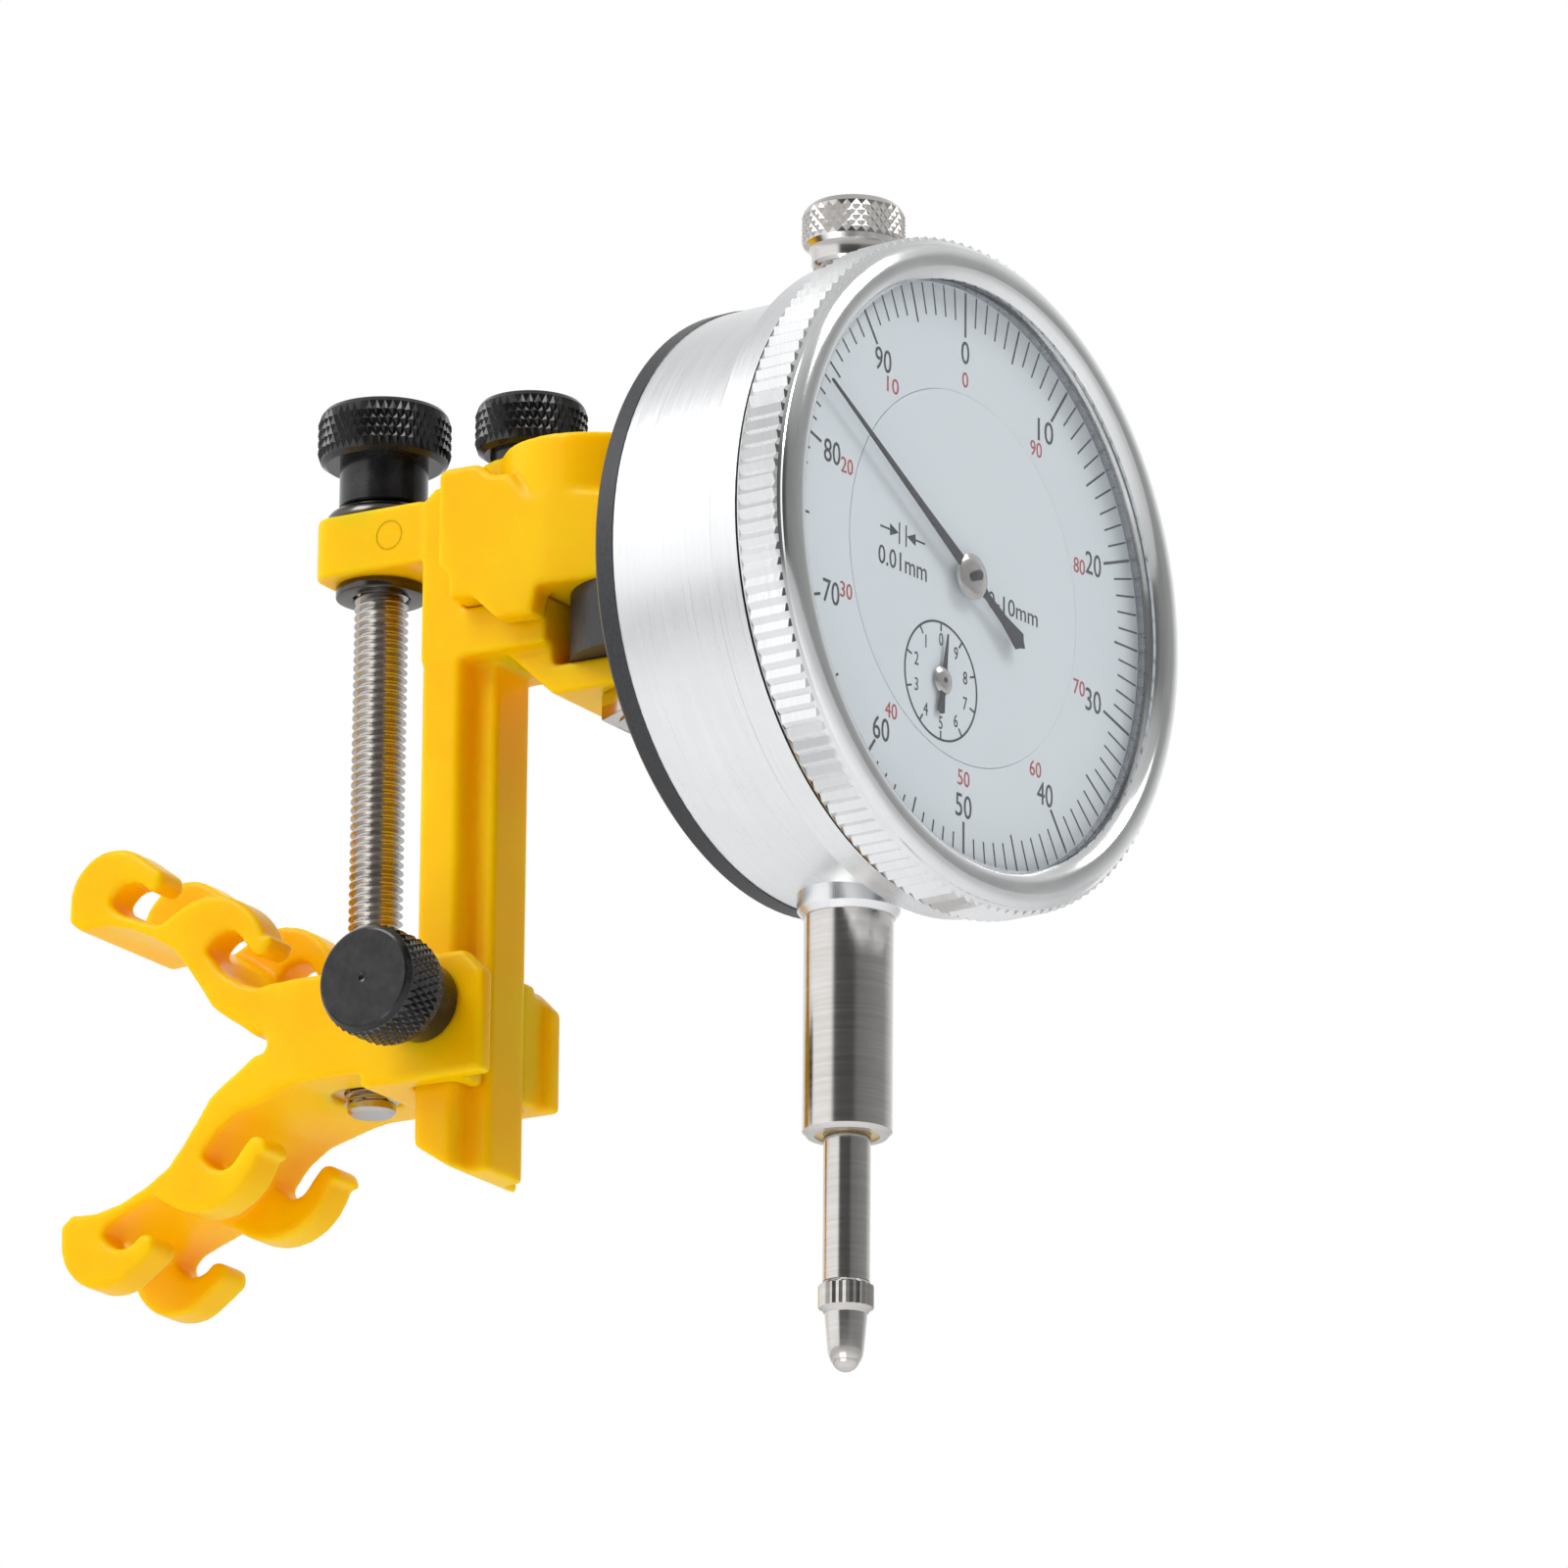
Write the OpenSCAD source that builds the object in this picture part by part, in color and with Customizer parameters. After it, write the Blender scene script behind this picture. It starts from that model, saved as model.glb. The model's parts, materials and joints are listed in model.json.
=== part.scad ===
// Dial indicator on a strap-on bracket: a saddle that is strapped to a tube, a column
// that slides on it with a threaded height adjuster, and a 0-10 mm dial indicator held
// by its lug. +Z is up, +Y is the side where the tube goes, and the origin is the bottom
// of the saddle's V at its middle.

/* [Saddle] */
// Width of the saddle's arm across X
arm_w = 17; // [16:0.5:19]
// Height of the saddle's arm
arm_h = 9.8; // [9:0.2:10.4]
// Width of the V jaws across X
jaw_w = 16; // [14:0.5:17]
// Thickness of one claw across X
claw_w = 4; // [3.5:0.5:5]

/* [Column] */
// Width of the column across X
col_w = 11.5; // [10:0.5:12]
// Depth of the column along Y
col_d = 4.4; // [4:0.2:5]
// Height of the column's top above the origin
col_top = 51; // [50:0.5:53]
// Height of the column's lower end
col_bottom = -13.4; // [-15:0.2:-12]
// Thickness of the upper arm that carries the adjuster
upper_arm_t = 5.8; // [5:0.2:6.4]

/* [Knobs] */
// Diameter of the height adjuster's knob
adjust_knob_d = 12.4; // [11:0.2:13]
// Diameter of the lock knob on the saddle
lock_knob_d = 10.4; // [9:0.2:11]
// Diameter of the clamp knob above the dial's lug
clamp_knob_d = 10.4; // [9:0.2:11]
// Outer diameter of the height adjuster's thread
rod_d = 5; // [4.6:0.1:5]

/* [Dial] */
// Radius of the knurled bezel
bezel_r = 30.6; // [30.2:0.1:31]
// Radius of the case behind the bezel
case_r = 27.6; // [27.3:0.1:27.8]
// Diameter of the mounting stem
stem_d = 8; // [7.9:0.1:8]
// Length of the stem below the case
stem_len = 22; // [18:0.5:24]
// Diameter of the plunger
plunger_d = 4.2; // [4.1:0.1:4.4]
// Angle that the dial is swung to about its lug, in degrees
swing = -6; // [-10:1:10]

/* [Hidden] */
// Places of the bracket's axes
rod_y = -6;                 // height adjuster
col_y = -14;                // rear face of the column
lock_y = -17;               // lock knob
knob_y = -22;               // clamp knob
boss_y = -28.8;             // round boss of the clamp block
boss_r = 8.4;
lug_y = -35.3;              // pivot through the dial's lug
fit = 0.1;                  // sliding fit of the column in the saddle
col_x = col_w / 2;
arm_x = arm_w / 2;
arm_z = -4.2;               // underside of the saddle's arm
sleeve_z = -5.7;            // lower and upper ends of the sleeve
sleeve_top = 5.9;
near_y = -23;               // front ends of its two walls
far_y = -20.9;
lip_y = -20;                // front of the lips that keep the column in
lock_z = 1.2;
rib_x = 3;                  // half width and front of the column's rib
rib_y = -20.5;
upper_z = 44.4;             // underside of the upper arm
upper_top = upper_z + upper_arm_t;
// Clamp heights: tongue, lug, web, block
lug_z = 35.9;
lug_t = 6.4;
lug_r = 7.5;
seat = 0.02;                // gap left at each face of the lug
tongue_top = lug_z - lug_t / 2 - seat;
tongue_z = 29.9;
tongue_x = 4.5;
web_z = 34.5;               // underside of the web behind the lug
web_y = lug_y + lug_r + 0.4;
block_bottom = lug_z + lug_t / 2 + seat;
block_top = 53.3;
block_x = 8.5;
insert_z = block_bottom - 4.2;
// Dial: y is measured from the printed face, towards the back
dial_z = 34.5;
dial_back = 34.8;           // lug pivot behind the printed face
plate_y0 = 18.2;
plate_y1 = 20.4;
stem_y = 12.5;
boss_z = -29.4;             // underside of the case's boss for the stem
stem_step = 0.25;           // the stem's spigot is thinner by this
face_r = 26.9;
inner_r = 17.1;
spigot_r = 27;
flange_r = 29.8;
plunger_r = plunger_d / 2;
bush_gap = 0.04;
// Gear train: rack 0.625 mm pitch, 16-tooth pinion, two 100-tooth gears, 10-tooth pinion
rack_pitch = 0.625;
rack_teeth = 16;
rack_r = rack_pitch * rack_teeth / (2 * PI);
gear_m = 0.2;
big_n = 100;
small_n = 10;
centre_dist = gear_m * (big_n + small_n) / 2;
rack_x = -plunger_r + 0.2;
arbor_x = rack_x - rack_r;
arbor_z = -sqrt(centre_dist * centre_dist - arbor_x * arbor_x);
mesh_a = atan2(-arbor_z, -arbor_x);
gear_y = 7.2;
main_hand_a = -59;          // long hand at rest, clockwise from the 0
small_hand_a = 8;           // small hand at rest
front_plate_y = 4.6;
rear_plate_y = 15.6;
pillar_r = 20.5;
screw_pcd = 22.6;
ROUND = 64;

// ---------------------------------------------------------------- helpers
function arc(c, r, a0, a1, n) =
    [for (i = [0 : n]) c + r * [cos(a0 + (a1 - a0) * i / n), sin(a0 + (a1 - a0) * i / n)]];

// Turns a drawing in (y, z) into a body that runs along X between two places
module along_x(x0, x1) {
    translate([x0, 0, 0]) rotate([90, 0, 90]) linear_extrude(x1 - x0) children();
}

module tube(r1, r0, z0, z1) {
    translate([0, 0, z0]) difference() {
        cylinder(h = z1 - z0, r = r1, $fn = ROUND);
        translate([0, 0, -1]) cylinder(h = z1 - z0 + 2, r = r0, $fn = ROUND);
    }
}

module rod(r, z0, z1) {
    translate([0, 0, z0]) cylinder(h = z1 - z0, r = r, $fn = ROUND);
}

// A body of revolution about Z whose profile is a list of (radius, height)
module turned(points) {
    rotate_extrude($fn = ROUND) polygon(points);
}

// A knurled knob about Z: rounded rims, a knurled band and a neck
module knob(d, h, neck_d, neck_h) {
    r = d / 2;
    e = 0.7;
    turned([[0, 0], [neck_d / 2, 0], [neck_d / 2, neck_h], [r - e / 2, neck_h], [r, neck_h + e / 2],
            [r, neck_h + h - e], [r - e, neck_h + h], [0, neck_h + h]]);
}

// Puts a piece of the dial in place: local x to the right, y to the back, z up
module at_dial() {
    translate([0, lug_y, dial_z]) rotate([0, 0, swing]) translate([0, -dial_back, 0]) children();
}

// Turns a shape about Z into one about the dial's y axis, facing the back
module facing(y = 0) {
    translate([0, y, 0]) rotate([-90, 0, 0]) children();
}

// A thin spur gear drawn flat: straight-sided teeth, one of them at the angle "first"
module gear2d(n, root_r, tip_r, root_w, tip_w, first) {
    union() {
        circle(r = root_r, $fn = ROUND);
        for (i = [0 : n - 1]) rotate(first + i * 360 / n)
            polygon([[root_r - 0.1, -root_w / 2], [tip_r, -tip_w / 2],
                     [tip_r, tip_w / 2], [root_r - 0.1, root_w / 2]]);
    }
}

// Places a flat drawing (x, z) as a plate between two depths of the dial
module plate(y0, y1) {
    translate([0, y1, 0]) rotate([90, 0, 0]) linear_extrude(y1 - y0) children();
}

// ---------------------------------------------------------------- saddle
// Upper half of the jaw, in (y, z): the V below, the seat of the claws above
module jaw_half() {
    polygon([[-3, -1], [0.6, -1], [1, 0.2], [1.7, 0.8], [3.3, 2], [5, 3.1], [6.6, 4.3], [7.7, 6], [9.4, 8.4],
             [11, 10.3], [13.2, 11.7], [16, 13], [18.7, 13.6], [21.4, 13.5], [22.6, 14.5], [22.5, 15.4],
             [18, 15.6], [17.1, 14.6], [15.2, 13.8], [13.3, 13.1], [10.5, 12], [7.5, 9.8], [5.5, 7.4],
             [3.4, 6], [-3, 4.2]]);
}

// A claw curls over towards the column: outside, rounded tip, inside
module outer_claw() {
    polygon(concat(arc([17.8, 16.1], 4.7, -20, 128, 16), arc([13.4, 17.3], 1.15, 120, 285, 8),
                   arc([15.7, 15], 2.3, 125, 10, 10), [[17.6, 14], [16, 13.2]]));
}

module inner_claw() {
    polygon(concat([[12.9, 12.6]], arc([7.2, 8.5], 6.4, 55, 165, 14), arc([1.5, 9.8], 1.3, 160, 300, 8),
                   arc([5, 8.9], 2.3, 115, 0, 10), [[7.5, 8.4], [8, 8]]));
}

module claw_pair() {
    for (s = [0, 1]) mirror([0, s]) {
        jaw_half();
        outer_claw();
        inner_claw();
    }
}

// Sleeve round the column: two walls that stand in front of the lips
module sleeve2d() {
    wall = 1.9;
    difference() {
        polygon([[-arm_x, col_y + 4], [-arm_x, near_y], [-arm_x + wall, near_y], [-arm_x + wall, lip_y],
                 [arm_x - wall, lip_y], [arm_x - wall, far_y], [arm_x, far_y], [arm_x, col_y + 4]]);
        column_window();
    }
}

// Opening for the column, open to the front between two lips
module column_window() {
    front = col_y - col_d - fit;
    polygon([[-col_x - fit, col_y + fit], [-col_x - fit, front], [-rib_x - fit, front],
             [-rib_x - fit, near_y - 1], [rib_x + fit, near_y - 1], [rib_x + fit, front],
             [col_x + fit, front], [col_x + fit, col_y + fit]]);
}

module saddle_base() {
    color("gold") difference() {
        union() {
            along_x(-jaw_w / 2, jaw_w / 2) for (s = [0, 1]) mirror([0, s]) jaw_half();
            for (x = [-jaw_w / 2, jaw_w / 2 - claw_w]) along_x(x, x + claw_w) claw_pair();
            translate([0, 0, arm_z]) linear_extrude(arm_h)
                polygon([[-jaw_w / 2, 1], [-arm_x, -3], [-arm_x, col_y + 0.5], [arm_x, col_y + 0.5],
                         [arm_x, -3], [jaw_w / 2, 1]]);
            translate([0, 0, sleeve_z]) linear_extrude(sleeve_top - sleeve_z) sleeve2d();
        }
        translate([0, 0, -20]) linear_extrude(40) column_window();
        // bore of the adjuster and seat of its insert
        translate([0, rod_y, -10]) cylinder(h = 20, r = rod_d / 2 + 0.25, $fn = ROUND);
        translate([0, rod_y, arm_z - 1]) cylinder(h = 8, r = 3.6, $fn = ROUND);
        // bore of the lock screw and seat of its insert
        translate([-arm_x - 1, lock_y, lock_z]) rotate([0, 90, 0])
            cylinder(h = arm_x, r = 1.7, $fn = ROUND);
        translate([-arm_x - 1, lock_y, lock_z]) rotate([0, 90, 0]) cylinder(h = 3, r = 2.4, $fn = ROUND);
        // round at the V's bottom
        along_x(-20, 20) translate([1.3, 0]) circle(r = 0.9, $fn = ROUND);
        // chamfered upper corners of the sleeve's walls
        for (wall = [[-arm_x, near_y], [arm_x, far_y]]) translate([wall[0], wall[1], sleeve_top])
            rotate([45, 0, 0]) cube([6, 3, 3], center = true);
    }
}

module threaded_insert() {
    color("darkkhaki") translate([0, rod_y, 0]) tube(3.6, rod_d / 2 + 0.05, arm_z + 0.4, arm_z + 7);
}

module lock_insert() {
    color("darkkhaki") translate([-arm_x, lock_y, lock_z]) rotate([0, 90, 0]) tube(2.4, 1.55, 0, 2);
}

module lock_screw() {
    color("silver") translate([-arm_x, lock_y, lock_z]) rotate([0, 90, 0]) rod(1.5, -4, 1.95);
}

module lock_knob() {
    color("#222222") translate([-arm_x - 0.3, lock_y, lock_z]) rotate([0, -90, 0]) difference() {
        knob(lock_knob_d, 6, 7.4, 4);
        translate([0, 0, -1]) cylinder(h = 4.7, r = 1.5, $fn = ROUND);
    }
}

module lock_pad() {
    color("white") translate([-col_x - fit + 0.05, lock_y, lock_z]) rotate([0, -90, 0])
        rod(1.2, 0, 0.7);
}

// ---------------------------------------------------------------- column
// A flat bar with a narrower rib down its front
module column_section() {
    c = 0.5;
    front = col_y - col_d;
    polygon([[-col_x, col_y - c], [-col_x + c, col_y], [col_x - c, col_y], [col_x, col_y - c],
             [col_x, front + c], [col_x - c, front], [rib_x, front], [rib_x, rib_y], [-rib_x, rib_y],
             [-rib_x, front], [-col_x + c, front], [-col_x, front + c]]);
}

module column() {
    front = col_y - col_d;
    color("gold") difference() {
        union() {
            translate([0, 0, col_bottom]) linear_extrude(web_z + 0.5 - col_bottom) column_section();
            translate([-col_x, front, web_z]) cube([col_w, col_d, col_top - web_z]);
            // upper arm with a rounded rear end
            translate([0, 0, upper_z]) linear_extrude(upper_arm_t)
                polygon(concat([[5.5, col_y - 1]], arc([3.5, -3.5], 2, 0, 90, 8),
                               arc([-3.5, -3.5], 2, 90, 180, 8), [[-5.5, col_y - 1]]));
            // web behind the dial's lug, and the tongue under it
            translate([-block_x + 2.7, web_y, web_z])
                cube([2 * block_x - 5.4, front + 0.2 - web_y, block_bottom - 0.1 - web_z]);
            translate([0, 0, tongue_z]) linear_extrude(tongue_top - tongue_z)
                polygon(concat([[tongue_x, web_y], [-tongue_x, web_y]],
                               arc([0, lug_y], tongue_x, 180, 360, 24)));
            along_x(-tongue_x, tongue_x)
                polygon([[web_y - 1.5, tongue_z], [web_y, tongue_z], [web_y + 5, web_z],
                         [web_y + 5, web_z + 1], [web_y, web_z + 1], [web_y, tongue_top],
                         [web_y - 1.5, tongue_top]]);
        }
        // bevelled foot
        along_x(-col_x - 1, col_x + 1)
            polygon([[col_y + 1, col_bottom - 1], [col_y + 1, col_bottom + 3.2], [col_y, col_bottom + 2.6],
                     [col_y - 4, col_bottom], [col_y - 4, col_bottom - 1]]);
        // rounded top rear corner
        translate([0, col_y, col_top]) rotate([45, 0, 0]) cube([30, 1.6, 1.6], center = true);
        // bores for the adjuster, the clamp insert and its screw, and the pivot pin
        translate([0, rod_y, upper_z - 1]) cylinder(h = 10, r = rod_d / 2 + 0.08, $fn = ROUND);
        translate([0, knob_y, insert_z - 0.02]) cylinder(h = 10, r = 3.1, $fn = ROUND);
        translate([0, lug_y, tongue_z - 1]) cylinder(h = 10, r = 3.05, $fn = ROUND);
    }
}

module adjust_rod() {
    r = rod_d / 2;
    z0 = -5.8;
    z1 = upper_top + 7.5;
    color("silver") translate([0, rod_y, 0])
        turned([[0, z0], [r - 0.5, z0], [r, z0 + 0.5], [r, z1], [0, z1]]);
}

module adjust_knob() {
    color("#222222") translate([0, rod_y, upper_top + 1.7]) difference() {
        knob(adjust_knob_d, 5.2, 8.2, 4.2);
        translate([0, 0, -1]) cylinder(h = 6.8, r = rod_d / 2, $fn = ROUND);
    }
}

module dome_washer() {
    r = rod_d / 2 + 0.15;
    color("dimgray") translate([0, rod_y, upper_top]) turned([[r, 0], [5.2, 0], [5.3, 0.5], [4.9, 1.1],
                                                             [4.2, 1.55], [r, 1.68]]);
}

module arm_washer() {
    color("silver") translate([0, rod_y, upper_z - 1.12]) difference() {
        turned([[0, 0], [3.9, 0], [4.25, 0.35], [4.25, 1.1], [0, 1.1]]);
        translate([0, 0, -1]) cylinder(h = 4, r = rod_d / 2, $fn = ROUND);
    }
}

module clamp_insert() {
    color("darkkhaki") translate([0, knob_y, 0]) tube(3.1, 2.05, insert_z, insert_z + 3.9);
}

// ---------------------------------------------------------------- clamp block
module clamp_block() {
    rear = col_y - col_d - fit;
    boss_h = 6;
    color("gold") difference() {
        union() {
            // body between the cheeks, out over the lug
            translate([0, 0, block_bottom]) linear_extrude(block_top - boss_h + 0.2 - block_bottom)
                polygon(concat([[block_x, boss_y], [block_x, rear], [-block_x, rear], [-block_x, boss_y]],
                               arc([0, lug_y], lug_r, 180, 360, 24)));
            translate([0, boss_y, block_top - boss_h]) cylinder(h = boss_h, r = boss_r, $fn = ROUND);
            // seat of the clamp knob
            translate([0, knob_y, block_top - boss_h]) intersection() {
                cylinder(h = boss_h, r = 4.6, $fn = ROUND);
                translate([-5, -5, 0]) cube([10, 5 + rear - knob_y, 7]);
            }
            // cheeks that wrap the column
            for (s = [0, 1]) mirror([s, 0, 0]) along_x(-block_x, -col_x - fit)
                polygon([[-17.4, 42.5], [-17.4, 51.2], [-17.9, 51.7], [-21.4, 51.7], [-23, 50.4],
                         [-25, 50.2], [-28, 46], [-28, 38.6], [-27.6, 36.4], [-23.7, 36.6]]);
        }
        // room for the web between the cheeks
        translate([-block_x + 2.6, web_y - 0.1, block_bottom - 10])
            cube([2 * block_x - 5.2, rear + 0.5 - web_y, 10]);
        translate([0, knob_y, 20]) cylinder(h = 50, r = 2.2, $fn = ROUND);
        // blind bore for the pivot pin
        translate([0, lug_y, block_bottom - 1]) cylinder(h = 6.4, r = 3.05, $fn = ROUND);
    }
}

module clamp_screw() {
    color("silver") translate([0, knob_y, 0]) rod(1.95, insert_z + 0.2, block_top + 4.2);
}

module clamp_knob() {
    color("#222222") translate([0, knob_y, block_top + 0.1]) difference() {
        knob(clamp_knob_d, 5, 7.6, 1.2);
        translate([0, 0, -1]) cylinder(h = 5.1, r = 1.95, $fn = ROUND);
    }
}

module pivot_pin() {
    color("silver") translate([0, lug_y, 0]) rod(2.95, tongue_z - 2.9, lug_z + lug_t / 2 + 4.6);
}

module pivot_nut() {
    color("silver") translate([0, lug_y, tongue_z - 2.62]) difference() {
        cylinder(h = 2.6, r = 4.6, $fn = 6);
        translate([0, 0, -1]) cylinder(h = 5, r = 2.95, $fn = ROUND);
    }
}

// ---------------------------------------------------------------- dial housing
module back_plate() {
    dz = lug_z - dial_z;
    color("#222222") at_dial() difference() {
        union() {
            facing() turned([[0, plate_y0], [case_r + 0.1, plate_y0], [case_r + 0.1, plate_y1 - 0.5],
                             [case_r - 0.4, plate_y1], [0, plate_y1]]);
            translate([0, 0, dz - lug_t / 2]) linear_extrude(lug_t)
                polygon(concat([[lug_r, plate_y1 - 0.2]], arc([0, dial_back], lug_r, 0, 180, 32),
                               [[-lug_r, plate_y1 - 0.2]]));
        }
        translate([0, dial_back, dz - 10]) cylinder(h = 20, r = 3, $fn = ROUND);
        for (a = [45 : 90 : 315]) rotate([0, a, 0]) translate([screw_pcd, plate_y0 - 1, 0])
            rotate([-90, 0, 0]) cylinder(h = 5, r = 1.15, $fn = ROUND);
    }
}

module back_screws() {
    color("dimgray") at_dial() for (a = [45 : 90 : 315]) rotate([0, a, 0]) translate([screw_pcd, 0, 0])
        facing() difference() {
            turned([[0, plate_y0 - 3.5], [0.95, plate_y0 - 3.5], [0.95, plate_y1 + 0.02],
                    [2.1, plate_y1 + 0.02], [2.1, plate_y1 + 0.5], [1.4, plate_y1 + 1], [0, plate_y1 + 1]]);
            translate([0, 0, plate_y1 + 0.8]) cube([5, 0.5, 0.8], center = true);
        }
}

module case_profile() {
    polygon([[25.6, 2.4], [25.6, plate_y0], [case_r, plate_y0], [case_r, 6.2], [flange_r - 0.3, 6.1],
             [flange_r, 5.8], [flange_r, 3.1], [spigot_r, 3.1], [spigot_r, 0.9], [24.6, 0.9],
             [24.6, 1.2], [0, 1.2], [0, 2.4]]);
}

module case() {
    color("lightgray") at_dial() difference() {
        union() {
            facing() rotate_extrude($fn = ROUND) case_profile();
            // screw posts for the back
            for (a = [45 : 90 : 315]) rotate([0, a, 0]) translate([screw_pcd, 2.3, 0]) rotate([-90, 0, 0])
                cylinder(h = plate_y0 - 2.35, r = 2.2, $fn = ROUND);
            // bosses of the stem and of the upper bush
            translate([0, stem_y, boss_z]) turned([[0, 0], [4.15, 0], [4.6, 0.6], [4.8, 5], [0, 5]]);
            translate([0, stem_y, 24])
                turned([[0, 0], [5.4, 0], [5.2, 3], [4.2, 5.2], [3.7, 6.6], [0, 6.6]]);
        }
        translate([0, stem_y, -40]) cylinder(h = 20, r = stem_d / 2 - stem_step, $fn = ROUND);
        translate([0, stem_y, 20]) cylinder(h = 20, r = 3, $fn = ROUND);
        facing() translate([0, 0, -5]) cylinder(h = 10, r = 1.6, $fn = ROUND);
        translate([arbor_x, -5, arbor_z]) facing() cylinder(h = 10, r = 1.2, $fn = ROUND);
        for (a = [45 : 90 : 315]) rotate([0, a, 0]) translate([screw_pcd, plate_y0 - 4, 0])
            rotate([-90, 0, 0]) cylinder(h = 5, r = 0.95, $fn = ROUND);
    }
}

module stem() {
    r = stem_d / 2;
    spigot = r - stem_step;
    z0 = -27.4 - stem_len;
    color("silver") at_dial() translate([0, stem_y, 0]) difference() {
        turned([[0, z0], [r - 0.4, z0], [r, z0 + 0.4], [r, boss_z], [spigot, boss_z], [spigot, -24.5],
                [0, -24.5]]);
        translate([0, 0, z0 - 1]) cylinder(h = 40, r = 2.9, $fn = ROUND);
    }
}

module lower_bush() {
    z0 = -27.4 - stem_len;
    color("peru") at_dial() translate([0, stem_y, 0]) tube(2.9, plunger_r + bush_gap, z0 + 0.2, z0 + 9);
}

module upper_bush() {
    color("peru") at_dial() translate([0, stem_y, 0]) tube(3, plunger_r + bush_gap, 24.4, 31);
}

// ---------------------------------------------------------------- movement
module front_plate() {
    color("goldenrod") at_dial() plate(front_plate_y, front_plate_y + 1.2) difference() {
        circle(r = 22.5, $fn = ROUND);
        for (a = [45 : 90 : 315]) rotate(a) translate([screw_pcd, 0]) circle(r = 3, $fn = ROUND);
        circle(r = 0.6, $fn = ROUND);
        translate([arbor_x, arbor_z]) circle(r = 0.6, $fn = ROUND);
        translate([-arbor_x, -arbor_z]) circle(r = 0.5, $fn = ROUND);
    }
}

module rear_plate() {
    color("goldenrod") at_dial() plate(rear_plate_y, rear_plate_y + 1.2) difference() {
        polygon(concat(arc([0, 0], 22.5, 20, 70, 8), arc([0, 0], 22.5, 110, 160, 8),
                       arc([0, 0], 22.5, 200, 250, 8), arc([0, 0], 22.5, 290, 340, 8)));
        for (a = [45 : 90 : 315]) rotate(a) translate([screw_pcd, 0]) circle(r = 3, $fn = ROUND);
        translate([arbor_x, arbor_z]) circle(r = 0.55, $fn = ROUND);
    }
}

// Posts between the case front, the two plates, each a separate solid
module pillars() {
    color("khaki") at_dial() for (a = [22, 158, 202, 338]) {
        x = pillar_r * cos(a);
        z = pillar_r * sin(a);
        translate([x, 0, z]) facing() {
            rod(1.4, 2.42, front_plate_y - 0.02);
            rod(1.4, front_plate_y + 1.22, rear_plate_y - 0.02);
        }
    }
}

module plate_screws() {
    color("silver") at_dial() for (a = [22, 158, 202, 338])
        translate([pillar_r * cos(a), 0, pillar_r * sin(a)]) facing() difference() {
            rod(1.5, rear_plate_y + 1.22, rear_plate_y + 2.2);
            translate([0, 0, rear_plate_y + 2.3]) cube([4, 0.4, 0.9], center = true);
        }
}

// Small bridge that carries the rear pivots of the centre and take-up arbors
module centre_bridge() {
    color("goldenrod") at_dial() {
        plate(9, 9.9) difference() {
            union() {
                rotate(mesh_a) translate([-3, -2]) square([17, 4]);
                translate([7.5, -2.4]) square([6.2, 3.2]);
                translate([-1.5, -1.5]) square([12, 2.3]);
            }
            circle(r = 0.5, $fn = ROUND);
            translate([-arbor_x, -arbor_z]) circle(r = 0.5, $fn = ROUND);
        }
        translate([12, 0, -0.8]) facing() rod(1.2, front_plate_y + 1.22, 9.05);
    }
}

module guide_post() {
    color("khaki") at_dial() translate([5, 13.3, -1]) cube([2, rear_plate_y - 13.32, 20]);
}

// Counter arbor: rack pinion, 100-tooth gear and the arbor that carries the small hand
module rack_gear() {
    color("gold") at_dial() translate([arbor_x, 0, arbor_z]) {
        plate(gear_y, gear_y + 0.6) gear2d(big_n, 9.74, 10.16, 0.34, 0.14, mesh_a);
        plate(10.9, 14.1) gear2d(rack_teeth, rack_r - 0.26, rack_r + 0.14, 0.4, 0.16, 0);
        facing() rod(0.5, -0.4, rear_plate_y + 0.9);
        facing() rod(1.1, gear_y + 0.5, 10.95);
    }
}

// Centre arbor: 10-tooth pinion and the arbor that carries the main hand
module centre_pinion() {
    color("gold") at_dial() {
        plate(gear_y - 0.5, gear_y + 1.1) gear2d(small_n, 0.74, 1.15, 0.34, 0.13, mesh_a + 18);
        facing() rod(0.45, -1.5, 9.8);
    }
}

module take_up_gear() {
    color("gold") at_dial() translate([-arbor_x, 0, -arbor_z]) {
        plate(gear_y, gear_y + 0.6) gear2d(big_n, 9.74, 10.16, 0.34, 0.14, mesh_a + 180);
        facing() rod(0.45, front_plate_y + 0.3, 9.8);
        facing() rod(1, front_plate_y + 1.4, gear_y + 0.1);
    }
}

// Flat spiral that keeps the gears on one flank
module hairspring() {
    turns = 3.6;
    n = 90;
    r0 = 1.12;
    r1 = 5.2;
    w = 0.12;
    color("steelblue") at_dial() translate([-arbor_x, 0, -arbor_z]) plate(6.15, 6.65)
        polygon(concat([for (i = [0 : n]) (r0 + (r1 - r0) * i / n + w)
                        * [cos(360 * turns * i / n), sin(360 * turns * i / n)]],
                       [for (i = [n : -1 : 0]) (r0 + (r1 - r0) * i / n)
                        * [cos(360 * turns * i / n), sin(360 * turns * i / n)]]));
}

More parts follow.
